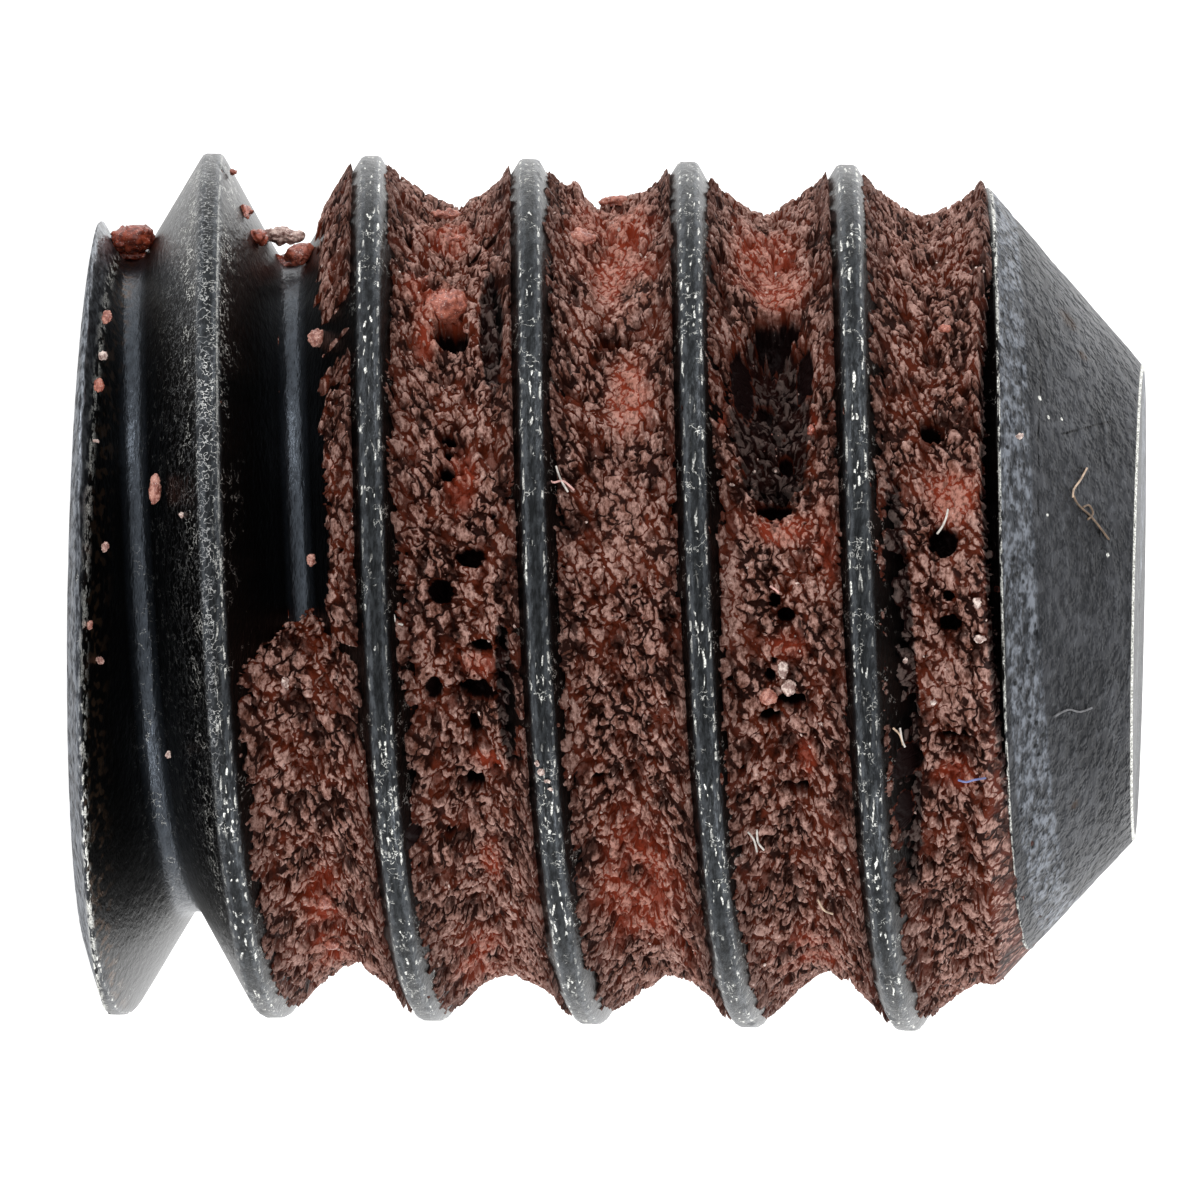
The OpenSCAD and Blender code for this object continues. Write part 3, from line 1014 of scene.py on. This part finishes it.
def make_residue(name, first_turn, last_turn, material):
    graph = ShapeGraph(name)
    length = graph.size("Length", LENGTH)
    major_r = graph.size("Major radius", MAJOR_R)
    root_r = graph.size("Root radius", ROOT_R)
    pitch = graph.size("Pitch", PITCH)
    fill_share = graph.size("Fill share", FILL_SHARE)
    first = graph.size("First turn", first_turn)
    last = graph.size("Last turn", last_turn)

    step = (last_turn - first_turn) / RESIDUE_STEPS
    grid = graph.add("GeometryNodeMeshGrid", {}, {
        "Size X": last_turn - first_turn + 2 * step, "Size Y": 1.0,
        "Vertices X": RESIDUE_STEPS + 3, "Vertices Y": RESIDUE_ROWS + 1,
    })
    place = graph.add("GeometryNodeInputPosition")
    raw_turn = place.part(0) + (first_turn + last_turn) / 2
    turn = raw_turn.math("MAXIMUM", first).math("MINIMUM", last)
    capped = abs(raw_turn - turn).math("GREATER_THAN", step / 2)
    section = place.part(1) + 0.5

    # The section runs over the top from the left flank to the right one, and back along the steel.
    over = section * (1 / RESIDUE_TOP)
    back = (1 - section) * (1 / (1 - RESIDUE_TOP))
    is_top = section.math("LESS_THAN", RESIDUE_TOP + 1e-6)
    offset = (is_top.between(back, over) * 2 - 1) * RESIDUE_HALF
    height = turn * pitch + offset + FIRST_GROOVE_Z
    steel = thread_radius(offset, height, major_r, root_r)
    cone = cone_radius(height, length)
    under = steel.math("MINIMUM", cone) - RESIDUE_SUNK

    # Coordinates for the noise: along the groove and across it, both in mm
    along = turn * (math.tau * MAJOR_R)
    flat_place = graph.vector(along, offset, 0.0)
    ragged = graph.noise(flat_place, 40, 4, 0.65) - 0.5
    lumps = graph.noise(flat_place, 6, 3, 0.55) - 0.5
    main = crown_radius(turn, offset, major_r, root_r, fill_share) + lumps * SLOW_WAVE
    wall = torn_wall(graph, along, offset, ragged)
    main = main - wall * TORN_WALL_DEPTH

    # The fill starts just past the first full turn, with a ragged rounded front.
    front = RESIDUE_FILL_TURN + abs(offset - 0.02) * 0.10 + (lumps + ragged) * 0.02
    started = (turn - front).rise(-0.004, 0.010)
    main = started.between(steel - 0.05, main)
    film = creeping_film(graph, turn, along, offset, ragged)
    film_top = steel + film * (ragged * 0.02 + CREEP_H) - (1 - film) * 0.05
    base = main.math("MAXIMUM", film_top)

    def marked(spots, bend, full, none):
        """1 inside the spots of this stretch, and 0 outside them. bend moves their edges."""
        return graph.greatest(
            1 - (oval(turn, offset, *spot) + bend).rise(full, none)
            for spot in spots_between(spots, first_turn, last_turn)
        )

    # Smooth places, plates, chips and torn places
    smooth = marked(SMOOTH_PATCHES, 0.0, 0.5, 1.2)
    plates, chips, torn = crust_pattern(graph, along, offset)
    depth = plates * PLATE_H + chips * CHIP_H - torn * TORN_PLATE_DEPTH - CRUST_LOW
    top = base + depth * (1 - smooth * 0.75)

    # Lumps, hollows and holes from the photograph, and small pores
    hole_warp = ragged * 1.3
    for *spot, spot_h in spots_between(LUMPS, first_turn, last_turn):
        top = top + (1 - oval(turn, offset, *spot).rise(0.2, 1.1)) * spot_h
    hollow = graph.add("ShaderNodeValue")
    covered = graph.add("ShaderNodeValue")
    rubble = 1 - graph.cells(graph.vector(along * 0.8, offset, 0.0), 26)
    for *spot, spot_depth, has_floor in spots_between(HOLLOWS, first_turn, last_turn):
        inside = 1 - (oval(turn, offset, *spot) + hole_warp * 0.7).rise(0.7, 1.1)
        top = top - inside * (spot_depth + RUBBLE_H / 2 - rubble * RUBBLE_H)
        hollow = hollow.math("MAXIMUM", inside)
        covered = covered.math("MAXIMUM", inside * has_floor)
    pore_far = graph.cells(graph.vector(along * 0.8, offset, 5.0), 15) + ragged * 0.12
    pores = (1 - pore_far.rise(0.09, 0.17)) * lumps.rise(-0.05, 0.1) * (1 - smooth)
    pit = marked(HOLES, hole_warp, 0.8, 1.2).math("MAXIMUM", pores * 0.7)
    top = top - pit * HOLE_DEPTH
    has_skin = pit.math("MAXIMUM", covered).rise(0.2, 0.6) * started * (1 - wall)
    top = top.math("MAXIMUM", steel.math("MINIMUM", cone) + has_skin.between(*SKIN_OVER_STEEL))
    red = marked(RED_PATCHES, hole_warp * 0.8, 0.4, 1.3)

    # The strip stays under the crests and the cone, and sinks into the steel where there is none of it.
    ceiling = major_r.math("MINIMUM", cone) - UNDER_CREST
    top = top.math("SMOOTH_MIN", ceiling, 0.01)
    thickness = top - steel
    edge = (RESIDUE_HALF - abs(offset)).rise(0.0, 0.004)
    top = top.math("MAXIMUM", under + 0.003)
    radius = (is_top * edge).between(under, top)
    radius = capped.between(radius, root_r + 0.05)
    offset = offset * (1 - capped)

    geometry = graph.keep(grid, "groove_place", graph.vector(along, offset, 0.0), "FLOAT_VECTOR")
    crumb_room = is_top * thickness.rise(0.004, 0.012) * (1 - pit)
    stored = {"pit": pit, "hollow": hollow, "red": red, "smooth": smooth, "crumb_room": crumb_room}
    for stored_name, value in stored.items():
        geometry = graph.keep(geometry, stored_name, value)
    geometry = graph.put(geometry, on_helix(graph, turn, offset, radius, pitch))
    return graph.finish(name, graph.merge(geometry, 1e-5), material)


# %% [markdown]
# ## The colour of cured resin
#
# Weathered threadlocker is a dull grey-pink on top of its plates. In the cracks it is still a deep,
# translucent red, darkened there as painted shade, and the holes and hollows are almost black, which is
# painted shade. Real translucency would be slow at this scale and would be lost in an export, so the
# depth of the crust picks the colour: black, deep red, brown, grey-pink. That paints both the resin's
# own red and the shade in its low places.

# %% Colours of cured resin
# HOLE_BLACK is painted shade in the holes and hollows.
HOLE_BLACK = (0.006, 0.002, 0.002)
# DEEP_RED and RUST are the resin's own red, made darker as painted shade in cracks and at the rims of holes.
DEEP_RED = (0.017, 0.0040, 0.0022)
RUST = (0.095, 0.016, 0.006)
SCARLET = (0.270, 0.036, 0.014)
BROWN = (0.150, 0.057, 0.038)
DARK_BROWN = (0.070, 0.024, 0.015)
SALMON = (0.470, 0.185, 0.135)
GREY_PINK = (0.450, 0.272, 0.230)
PALE_PINK = (0.58, 0.44, 0.40)
RUBBLE_GREY = (0.060, 0.046, 0.042)


# %% Threadlocker material
def make_threadlocker():
    graph = Finish("cured threadlocker")
    groove_place = graph.kept("groove_place", "Vector")
    along = groove_place.part(0)
    offset = groove_place.part(1)
    pit, hollow, red, smooth = (graph.kept(name) for name in ("pit", "hollow", "red", "smooth"))
    plates, chips, torn = crust_pattern(graph, along, offset)
    fine = graph.noise(graph.place.scaled(0.7, 0.7, 1), 105, 2, 0.6)
    cloud = graph.noise(graph.vector(along * 0.7 + 3, offset, 0.0), 9, 2, 0.5, "2D")
    patch = graph.noise(graph.vector(along * 0.6 + 9, offset, 0.0), 34, 2, 0.5, "2D")
    tone = patch * 0.6 + cloud * 0.3 + fine * 0.5

    # Two colours, one for the plates and one for the cracks, mixed by how high the crust stands. The crack
    # colour on low and torn places is partly painted shade.
    ruddy = red * cloud.rise(0.25, 0.50)
    plate = graph.colour(tone.rise(0.50, 0.90), BROWN, GREY_PINK)
    plate = graph.colour(ruddy * 0.60, plate, SALMON)
    plate = graph.colour((1 - fine.rise(0.34, 0.56)) * 0.65, plate, DARK_BROWN)
    crack = graph.colour((cloud + (patch - 0.5) * 0.5).rise(0.38, 0.64), DEEP_RED, RUST)
    crack = graph.colour(ruddy * 0.65, crack, SCARLET)
    level = plates * 0.60 + chips * 0.24 + (fine - 0.5) * 0.55 + (patch - 0.5) * 0.8 + smooth * 0.18
    base = graph.colour(level.rise(0.32, 0.66), crack, plate)
    base = graph.colour(torn * 0.8 * (1 - smooth), base, crack)

    # Painted shade: the strip's sides by the flanks turn deep red, the hollows go black with grey rubble,
    # and the holes go black with rusty rims. Then pale flecks.
    flank = abs(offset).rise(0.09, 0.17)
    base = graph.colour(flank * 0.5, base, DEEP_RED)
    rubble = graph.colour(level.rise(0.45, 0.75), HOLE_BLACK, RUBBLE_GREY)
    base = graph.colour(hollow.rise(0.05, 0.6) * 0.88, base, rubble)
    base = graph.colour(pit.rise(0.04, 0.25) * (1 - pit.rise(0.25, 0.6)) * 0.6, base, RUST)
    base = graph.colour(pit.rise(0.2, 0.6), base, HOLE_BLACK)
    # The pale flecks on high places are partly pale grains and partly painted highlights.
    flecks = fine.rise(0.66, 0.72) * level.rise(0.4, 0.7) * (1 - pit) * (1 - hollow) * 0.7
    base = graph.colour(flecks, base, PALE_PINK)

    return graph.surface({
        "Base Color": base, "Roughness": 0.55, "Specular IOR Level": 0.07,
        "Normal": graph.bump(plates + fine * 0.6, 0.006, 0.55),
    })


THREADLOCKER = make_threadlocker()
piece_turns = (RESIDUE_LAST_TURN - RESIDUE_FIRST_TURN) / RESIDUE_PIECES
residues = []
for number in range(RESIDUE_PIECES):
    begin = RESIDUE_FIRST_TURN + number * piece_turns
    residue = make_residue(f"residue_turn_{number + 1}", begin, begin + piece_turns, THREADLOCKER)
    report_closed(residue)
    add_piece(residue, "threadlocker_residue")
    residues.append(residue)

# %% [markdown]
# ## Loose pieces of resin
#
# Where the groove is bare, a few lumps and grains of resin stayed behind, glassy and more orange than
# the crust. Others lie on the crust. Each is a ball of triangles that is stretched and dented by noise.
# The tree puts one on each point of a small mesh, and reads its size and shade from that point. The
# points come from the photograph: pixel place, half width and half height in pixels, how high above the
# root it sits in mm, and a shade from 0, dark red, to 1, white.

# %% Lumps and grains
NODULES = {
    "on the first groove's top": (133, 238, 22, 18, 0.065, 0.12),
    # The dark flat lump under it is a painted shadow.
    "painted shadow under it": (133, 256, 21, 9, 0.010, 0.00),
    "on the first crest's flank": (247, 212, 6, 17, 0.185, 0.30),
    "under it": (257, 236, 10, 13, 0.130, 0.20),
    "pale one on the second groove": (284, 236, 21, 11, 0.080, 0.75),
    # This dark flat one is resin film over the root, darkened as painted shade.
    "dark film and painted shade on the second groove": (281, 266, 34, 13, -0.005, 0.00),
    "orange one beside it": (301, 254, 14, 15, 0.050, 0.25),
    "upper lump of the third groove": (446, 306, 21, 21, 0.180, 0.30),
    "its left shoulder": (428, 288, 10, 20, 0.170, 0.45),
    "its lower lobe": (426, 326, 10, 17, 0.160, 0.40),
    "top of the third groove": (448, 240, 20, 14, 0.150, 0.30),
    "silhouette of the third groove": (445, 215, 17, 9, 0.150, 0.45),
    "pale one, top of the fourth groove": (582, 238, 14, 12, 0.190, 0.50),
    "brown one, top of the fourth groove": (620, 203, 22, 9, 0.130, 0.40),
    "beside the lump's hole": (470, 330, 9, 8, 0.150, 0.60),
}
GRAINS = {
    "on the first crest's tip": (233, 172, 4, 4, 0.270, 0.30),
    "first groove, upper": (107, 317, 5, 8, 0.150, 0.55),
    "first groove, ring": (103, 356, 5, 5, 0.150, 0.85),
    "first groove, brown": (99, 385, 5, 8, 0.170, 0.40),
    "first groove, small white": (96, 441, 3, 2, 0.180, 1.00),
    "first groove, low": (105, 547, 4, 5, 0.150, 0.70),
    "first groove, lower": (90, 625, 3, 5, 0.190, 0.60),
    "first groove, lowest": (100, 660, 4, 4, 0.160, 0.70),
    "first groove's right, upper": (155, 489, 6, 16, 0.110, 0.57),
    "first groove's right": (182, 515, 3, 3, 0.200, 1.00),
    "first groove's root": (168, 755, 3, 4, 0.120, 0.80),
    "second groove, large": (317, 338, 9, 11, 0.100, 0.60),
    "second groove, middle": (335, 397, 5, 8, 0.160, 0.60),
    "second groove, middle low": (334, 447, 5, 9, 0.160, 0.60),
    "second groove, long": (337, 470, 5, 8, 0.170, 0.55),
    "second groove, low": (311, 560, 5, 6, 0.090, 0.60),
    "second groove, at the fill": (282, 685, 7, 9, 0.120, 0.90),
    "white grain, fourth crest": (732, 485, 3, 2, 0.200, 1.00),
    "white grain under it": (727, 558, 3, 3, 0.200, 1.00),
    "pale chip": (783, 670, 5, 9, 0.190, 0.90),
    "pale chip, lower": (789, 688, 7, 8, 0.190, 0.80),
    "pink chip": (768, 697, 9, 8, 0.180, 0.55),
    "white grain, fifth groove": (823, 725, 4, 4, 0.180, 1.00),
    "orange grain, cavity's left": (720, 436, 4, 6, 0.200, 0.25),
    "orange grain, cavity's right": (811, 430, 4, 6, 0.200, 0.25),
    "orange chip, sixth groove": (945, 329, 6, 5, 0.190, 0.35),
    "white grain, sixth groove": (977, 603, 4, 6, 0.200, 1.00),
    "white grains under it": (980, 639, 6, 4, 0.190, 0.90),
    "white grain, trough": (905, 661, 3, 3, 0.190, 1.00),
    "white grain, middle": (934, 702, 3, 3, 0.190, 1.00),
    "pink chip, sixth groove": (925, 928, 6, 6, 0.170, 0.60),
    "foot of the second groove": (325, 902, 7, 10, 0.160, 0.40),
    "foot, lower": (332, 944, 8, 8, 0.160, 0.35),
    "third crest's crust": (541, 772, 4, 4, 0.300, 1.00),
    "third crest's crust, right": (547, 781, 4, 2, 0.300, 1.00),
    "third crest's crust, low": (550, 789, 3, 2, 0.300, 1.00),
    "third crest's crust, top": (537, 763, 2, 3, 0.300, 1.00),
    "band of the cone": (1020, 436, 4, 3, 0.130, 1.00),
}


BALL_LEVEL = 4
# How deep a loose piece is, as a share of its smaller half size
LOOSE_DEPTH = 0.8


def make_loose(name, places, dent, dent_scale, material):
    """One piece with a dented ball at each place. dent is in mm, for a ball of any size."""
    mesh = bpy.data.meshes.new(name)
    points = [point_seen(x, y, ROOT_R + seat) for x, y, _, _, seat, _ in places.values()]
    mesh.from_pydata([point * MM for point in points], [], [])
    spreads = []
    for _, _, half_wide, half_high, _, _ in places.values():
        depth = LOOSE_DEPTH * min(half_wide, half_high)
        spreads += [side / PX_PER_MM for side in (depth, half_high, half_wide)]
    mesh.attributes.new("spread", "FLOAT_VECTOR", "POINT").data.foreach_set("vector", spreads)
    shades = [tone for *_, tone in places.values()]
    mesh.attributes.new("shade", "FLOAT", "POINT").data.foreach_set("value", shades)

    graph = ShapeGraph(name, takes_mesh=True)
    dent_size = graph.size("Dent depth", dent)
    place = graph.add("GeometryNodeInputPosition")
    turned = place.part(1).math("ARCTAN2", place.part(0))
    ball = graph.add("GeometryNodeMeshIcoSphere", {}, {"Radius": MM, "Subdivisions": BALL_LEVEL})
    instances = graph.add("GeometryNodeInstanceOnPoints", {}, {
        "Points": graph.mesh(), "Instance": ball,
        "Rotation": graph.vector(0.0, 0.0, turned), "Scale": graph.kept("spread", "FLOAT_VECTOR"),
    })
    solid = graph.add("GeometryNodeRealizeInstances", {}, (instances,))
    here = graph.add("GeometryNodeInputPosition").scaled(1 / MM)
    normal = graph.add("GeometryNodeInputNormal")
    swell = graph.noise(here, dent_scale, 3, 0.6) - 0.5 + graph.curls(here, dent_scale * 2, 0.1) * -0.1
    moved = graph.vector_math("ADD", here, graph.vector_math("MULTIPLY", normal, swell * dent_size))
    loose = graph.finish(name, graph.put(solid, moved), material, mesh)
    report_closed(loose)
    return loose


# %% Material of the loose pieces
# Each pair is the colour between the veins and in them
DARK_RED_GRAIN = ((0.130, 0.018, 0.008), (0.360, 0.062, 0.026))
ORANGE_GRAIN = ((0.230, 0.050, 0.028), (0.520, 0.200, 0.140))
PALE_GRAIN = ((0.250, 0.150, 0.130), (0.800, 0.660, 0.590))
GRAIN_FLECK = (0.9, 0.7, 0.62)


def make_resin():
    graph = Finish("clear resin grains")
    shade = graph.kept("shade")
    veins = graph.noise(graph.place, 60, 4, 0.65)
    fine = graph.noise(graph.place, 200, 2)
    between, within = (
        graph.colour(shade.rise(0.1, 0.5), *ends) for ends in zip(DARK_RED_GRAIN, ORANGE_GRAIN)
    )
    base = graph.colour(veins.rise(0.38, 0.62), between, within)
    base = graph.colour(shade.rise(0.45, 0.9), base, graph.colour(veins.rise(0.40, 0.62), *PALE_GRAIN))
    base = graph.colour(fine.rise(0.62, 0.70) * 0.5, base, GRAIN_FLECK)
    return graph.surface({
        "Base Color": base, "Roughness": 0.38 + veins * 0.1,
        "Normal": graph.bump(veins + fine * 0.4, 0.004, 0.5), "Coat Weight": 0.25,
    })


RESIN = make_resin()
nodules = make_loose("resin_nodules", NODULES, 0.060, 14, RESIN)
grains = make_loose("resin_grains", GRAINS, 0.018, 70, RESIN)
add_piece(nodules, "threadlocker_residue")
add_piece(grains, "threadlocker_residue")

# %% [markdown]
# ## Crumbs on the crust
#
# The crust sheds crumbs of its own. There are hundreds, of no particular place, so they are scattered:
# random points on the crust's own faces, with a small stretched ball of few faces on each. The strips'
# stored room for crumbs keeps them off the holes and off the hidden side, and the seeds make every run
# alike.

# %% Crumbs
CRUMBS_PER_MM2 = 42
CRUMB_SEED = 11
CRUMB_BALL_LEVEL = 1
SMALLEST_CRUMB_R = 0.0022
LARGEST_CRUMB_R = 0.0062


def make_crumbs(name, strips, material):
    joined = bmesh.new()
    for strip in strips:
        joined.from_mesh(strip.data)
    graph = ShapeGraph(name, takes_mesh=True)
    density = graph.size("Crumbs per mm2", CRUMBS_PER_MM2)
    smallest = graph.size("Smallest radius", SMALLEST_CRUMB_R)
    largest = graph.size("Largest radius", LARGEST_CRUMB_R)
    per_m2 = density * (1 / MM / MM) * graph.kept("crumb_room")
    points = graph.add("GeometryNodeDistributePointsOnFaces", {}, {
        "Mesh": graph.mesh(), "Density": per_m2, "Seed": CRUMB_SEED,
    })
    chance = graph.add("FunctionNodeRandomValue", {}, {"Seed": CRUMB_SEED + 1}, 1)
    turn = graph.add("FunctionNodeRandomValue", {"data_type": "FLOAT_VECTOR"}, {
        0: (0, 0, 0), 1: (math.tau, math.tau, math.tau), "Seed": CRUMB_SEED + 2,
    })
    stretch = graph.add("FunctionNodeRandomValue", {"data_type": "FLOAT_VECTOR"}, {
        0: (0.6, 0.6, 0.8), 1: (1.2, 1.0, 1.9), "Seed": CRUMB_SEED + 3,
    })
    radius = smallest + chance ** 3 * (largest - smallest)
    scale = graph.vector_math("MULTIPLY", stretch, radius)
    points = graph.keep(points, "shade", 0.42 + chance * 0.45)
    ball = graph.add("GeometryNodeMeshIcoSphere", {}, {"Radius": MM, "Subdivisions": CRUMB_BALL_LEVEL})
    crumbs = graph.add("GeometryNodeInstanceOnPoints", {}, {
        "Points": points, "Instance": ball, "Rotation": turn, "Scale": scale,
    })
    return graph.finish(name, crumbs, material, new_mesh("crumb ground", joined))


crumbs = make_crumbs("crust_crumbs", residues, RESIN)
add_piece(crumbs, "threadlocker_residue")

# %% [markdown]
# ## Lint
#
# A used screw carries fibres from cloths and gloves. They are only some micrometres thick, but at this
# distance each shows as a thread. A fibre is a curve through a few listed pixel places, and the tree
# smooths it and sweeps a small circle along it. Each colour of lint is one piece.

# %% Fibres
FIBRE_R = 0.0030
FIBRE_SIDES = 8
FIBRE_POINTS = 28
OVER_THREAD_R = MAJOR_R - 0.048
OVER_CONE = 0.006
LINT = {
    "pink": ((0.75, 0.42, 0.38), (
        ((543, 470), (552, 482), (563, 481), (574, 490)),
        ((770, 586), (776, 590), (779, 593)),
    )),
    "white": ((0.66, 0.61, 0.56), (
        ((556, 466), (560, 478), (568, 492)),
        ((388, 607), (393, 613), (396, 622), (403, 625)),
        ((748, 832), (754, 840), (757, 852)),
        ((757, 830), (758, 842), (764, 850)),
        ((948, 509), (946, 518), (942, 527), (937, 534)),
        ((900, 728), (902, 740), (905, 747)),
    )),
    "beige": ((0.62, 0.45, 0.32), (
        ((818, 900), (824, 910), (833, 914)),
        ((893, 728), (900, 735), (903, 745)),
    )),
    "blue": ((0.16, 0.19, 0.42), (
        ((958, 780), (966, 782), (974, 780), (986, 778)),
    )),
}
CONE_LINT = {
    "tan": ((0.60, 0.44, 0.32), (
        ((1087, 469), (1081, 480), (1074, 490), (1073, 498)),
    )),
    "brown": ((0.20, 0.13, 0.08), (
        ((1073, 495), (1078, 505), (1090, 516), (1100, 528), (1109, 540)),
        ((1083, 508), (1089, 506), (1093, 514), (1088, 520)),
    )),
    "faint": ((0.16, 0.16, 0.17), (
        ((1054, 716), (1068, 709), (1080, 711), (1092, 707)),
    )),
}


def make_lint(name, colour, chains, finder):
    """One piece of lint: a tube along each chain of pixels. finder turns a pixel into a place in mm."""
    points = []
    edges = []
    for chain in chains:
        edges += [(len(points) + link, len(points) + link + 1) for link in range(len(chain) - 1)]
        points += [finder(x, y) * MM for x, y in chain]
    mesh = bpy.data.meshes.new(name)
    mesh.from_pydata(points, edges, [])
    finish = Finish(name.replace("_", " "))
    bright = finish.noise(finish.place, 60, 2).rise(0.3, 0.7)
    dark = [part * 0.55 for part in colour]
    material = finish.surface({"Base Color": finish.colour(bright, dark, colour), "Roughness": 0.45})

    graph = ShapeGraph(name, takes_mesh=True)
    radius = graph.size("Fibre radius", FIBRE_R)
    curve = graph.add("GeometryNodeMeshToCurve", {}, (graph.mesh(),))
    curve = graph.add("GeometryNodeCurveSplineType", {"spline_type": "CATMULL_ROM"}, {"Curve": curve})
    curve = graph.add("GeometryNodeResampleCurve", {}, {"Curve": curve, "Count": FIBRE_POINTS})
    circle = graph.add("GeometryNodeCurvePrimitiveCircle", {}, {
        "Resolution": FIBRE_SIDES, "Radius": radius * MM,
    })
    tube = graph.add("GeometryNodeCurveToMesh", {}, {
        "Curve": curve, "Profile Curve": circle, "Fill Caps": True,
    })
    lint = graph.finish(name, graph.merge(tube, 1e-5), material, mesh)
    report_closed(lint)
    add_piece(lint, None)


def over_thread(x, y):
    """A place just over the crust or the crests."""
    return point_seen(x, y, OVER_THREAD_R)


def over_cone(x, y):
    point = cone_seen(x, y)
    outwards = Vector((point.x, point.y, 0)).normalized()
    return point + outwards * OVER_CONE


for table, finder in ((LINT, over_thread), (CONE_LINT, over_cone)):
    for shade_name, (tint, chains) in table.items():
        make_lint(f"lint_{shade_name}", tint, chains, finder)

# %% [markdown]
# ## Stage and light
#
# The photograph has a burnt-out white ground, and light from all round: strongest from behind, where it
# makes the upper and lower edges of the steel glow, and weaker from the camera's side. So the world is
# brighter behind the screw than in front of it, and the floor is a light table. Two small lamps give
# the grains their sparkle.


# %% Stage
WORLD_FRONT = 0.80
WORLD_BACK = 1.9
FLOOR_GLOW = 1.0
FLOOR_HALF_M = 2.0
# Place and size in mm, and how bright the lamp's face is
LAMPS = {
    "upper lamp": ((-60, -45, 12), 16, 14),
    "lower lamp": ((60, -30, 10), 16, 13),
}


def make_stage():
    floor_finish = Finish("light table")
    material = floor_finish.surface({
        "Base Color": (0.3, 0.3, 0.3, 1), "Roughness": 1.0,
        "Emission Color": (1, 1, 1, 1), "Emission Strength": FLOOR_GLOW,
    })
    bm = bmesh.new()
    bmesh.ops.create_grid(bm, x_segments=1, y_segments=1, size=FLOOR_HALF_M)
    floor = new_object("floor", new_mesh("floor", bm))
    floor.data.materials.append(material)


def make_world():
    world = bpy.data.worlds.new("world")
    bpy.context.scene.world = world
    world.use_nodes = True
    graph = Graph(world.node_tree)
    graph.tree.nodes.clear()
    direction = graph.add("ShaderNodeTexCoord", output="Generated")
    behind = direction.part(1).rise(-0.7, 0.7)
    strength = behind.between(WORLD_FRONT, WORLD_BACK)
    background = graph.add("ShaderNodeBackground", {}, {"Color": (1, 1, 1, 1), "Strength": strength})
    graph.add("ShaderNodeOutputWorld", {}, (background,), None)


def make_lamp(name, place_mm, size_mm, radiance):
    """A square lamp that faces the screw. Its power follows from how bright its face is."""
    lamp = bpy.data.lights.new(name, "AREA")
    lamp.size = size_mm * MM
    lamp.energy = radiance * math.pi * lamp.size ** 2
    item = bpy.data.objects.new(name, lamp)
    bpy.context.scene.collection.objects.link(item)
    place = Vector(place_mm)
    facing = (place - Vector((0, 0, LENGTH / 2))).to_track_quat("Z", "Y")
    item.matrix_world = Matrix.Translation(place * MM) @ facing.to_matrix().to_4x4()


make_stage()
make_world()
for lamp_name, lamp_values in LAMPS.items():
    make_lamp(lamp_name, *lamp_values)
bpy.context.scene.view_settings.view_transform = "Standard"
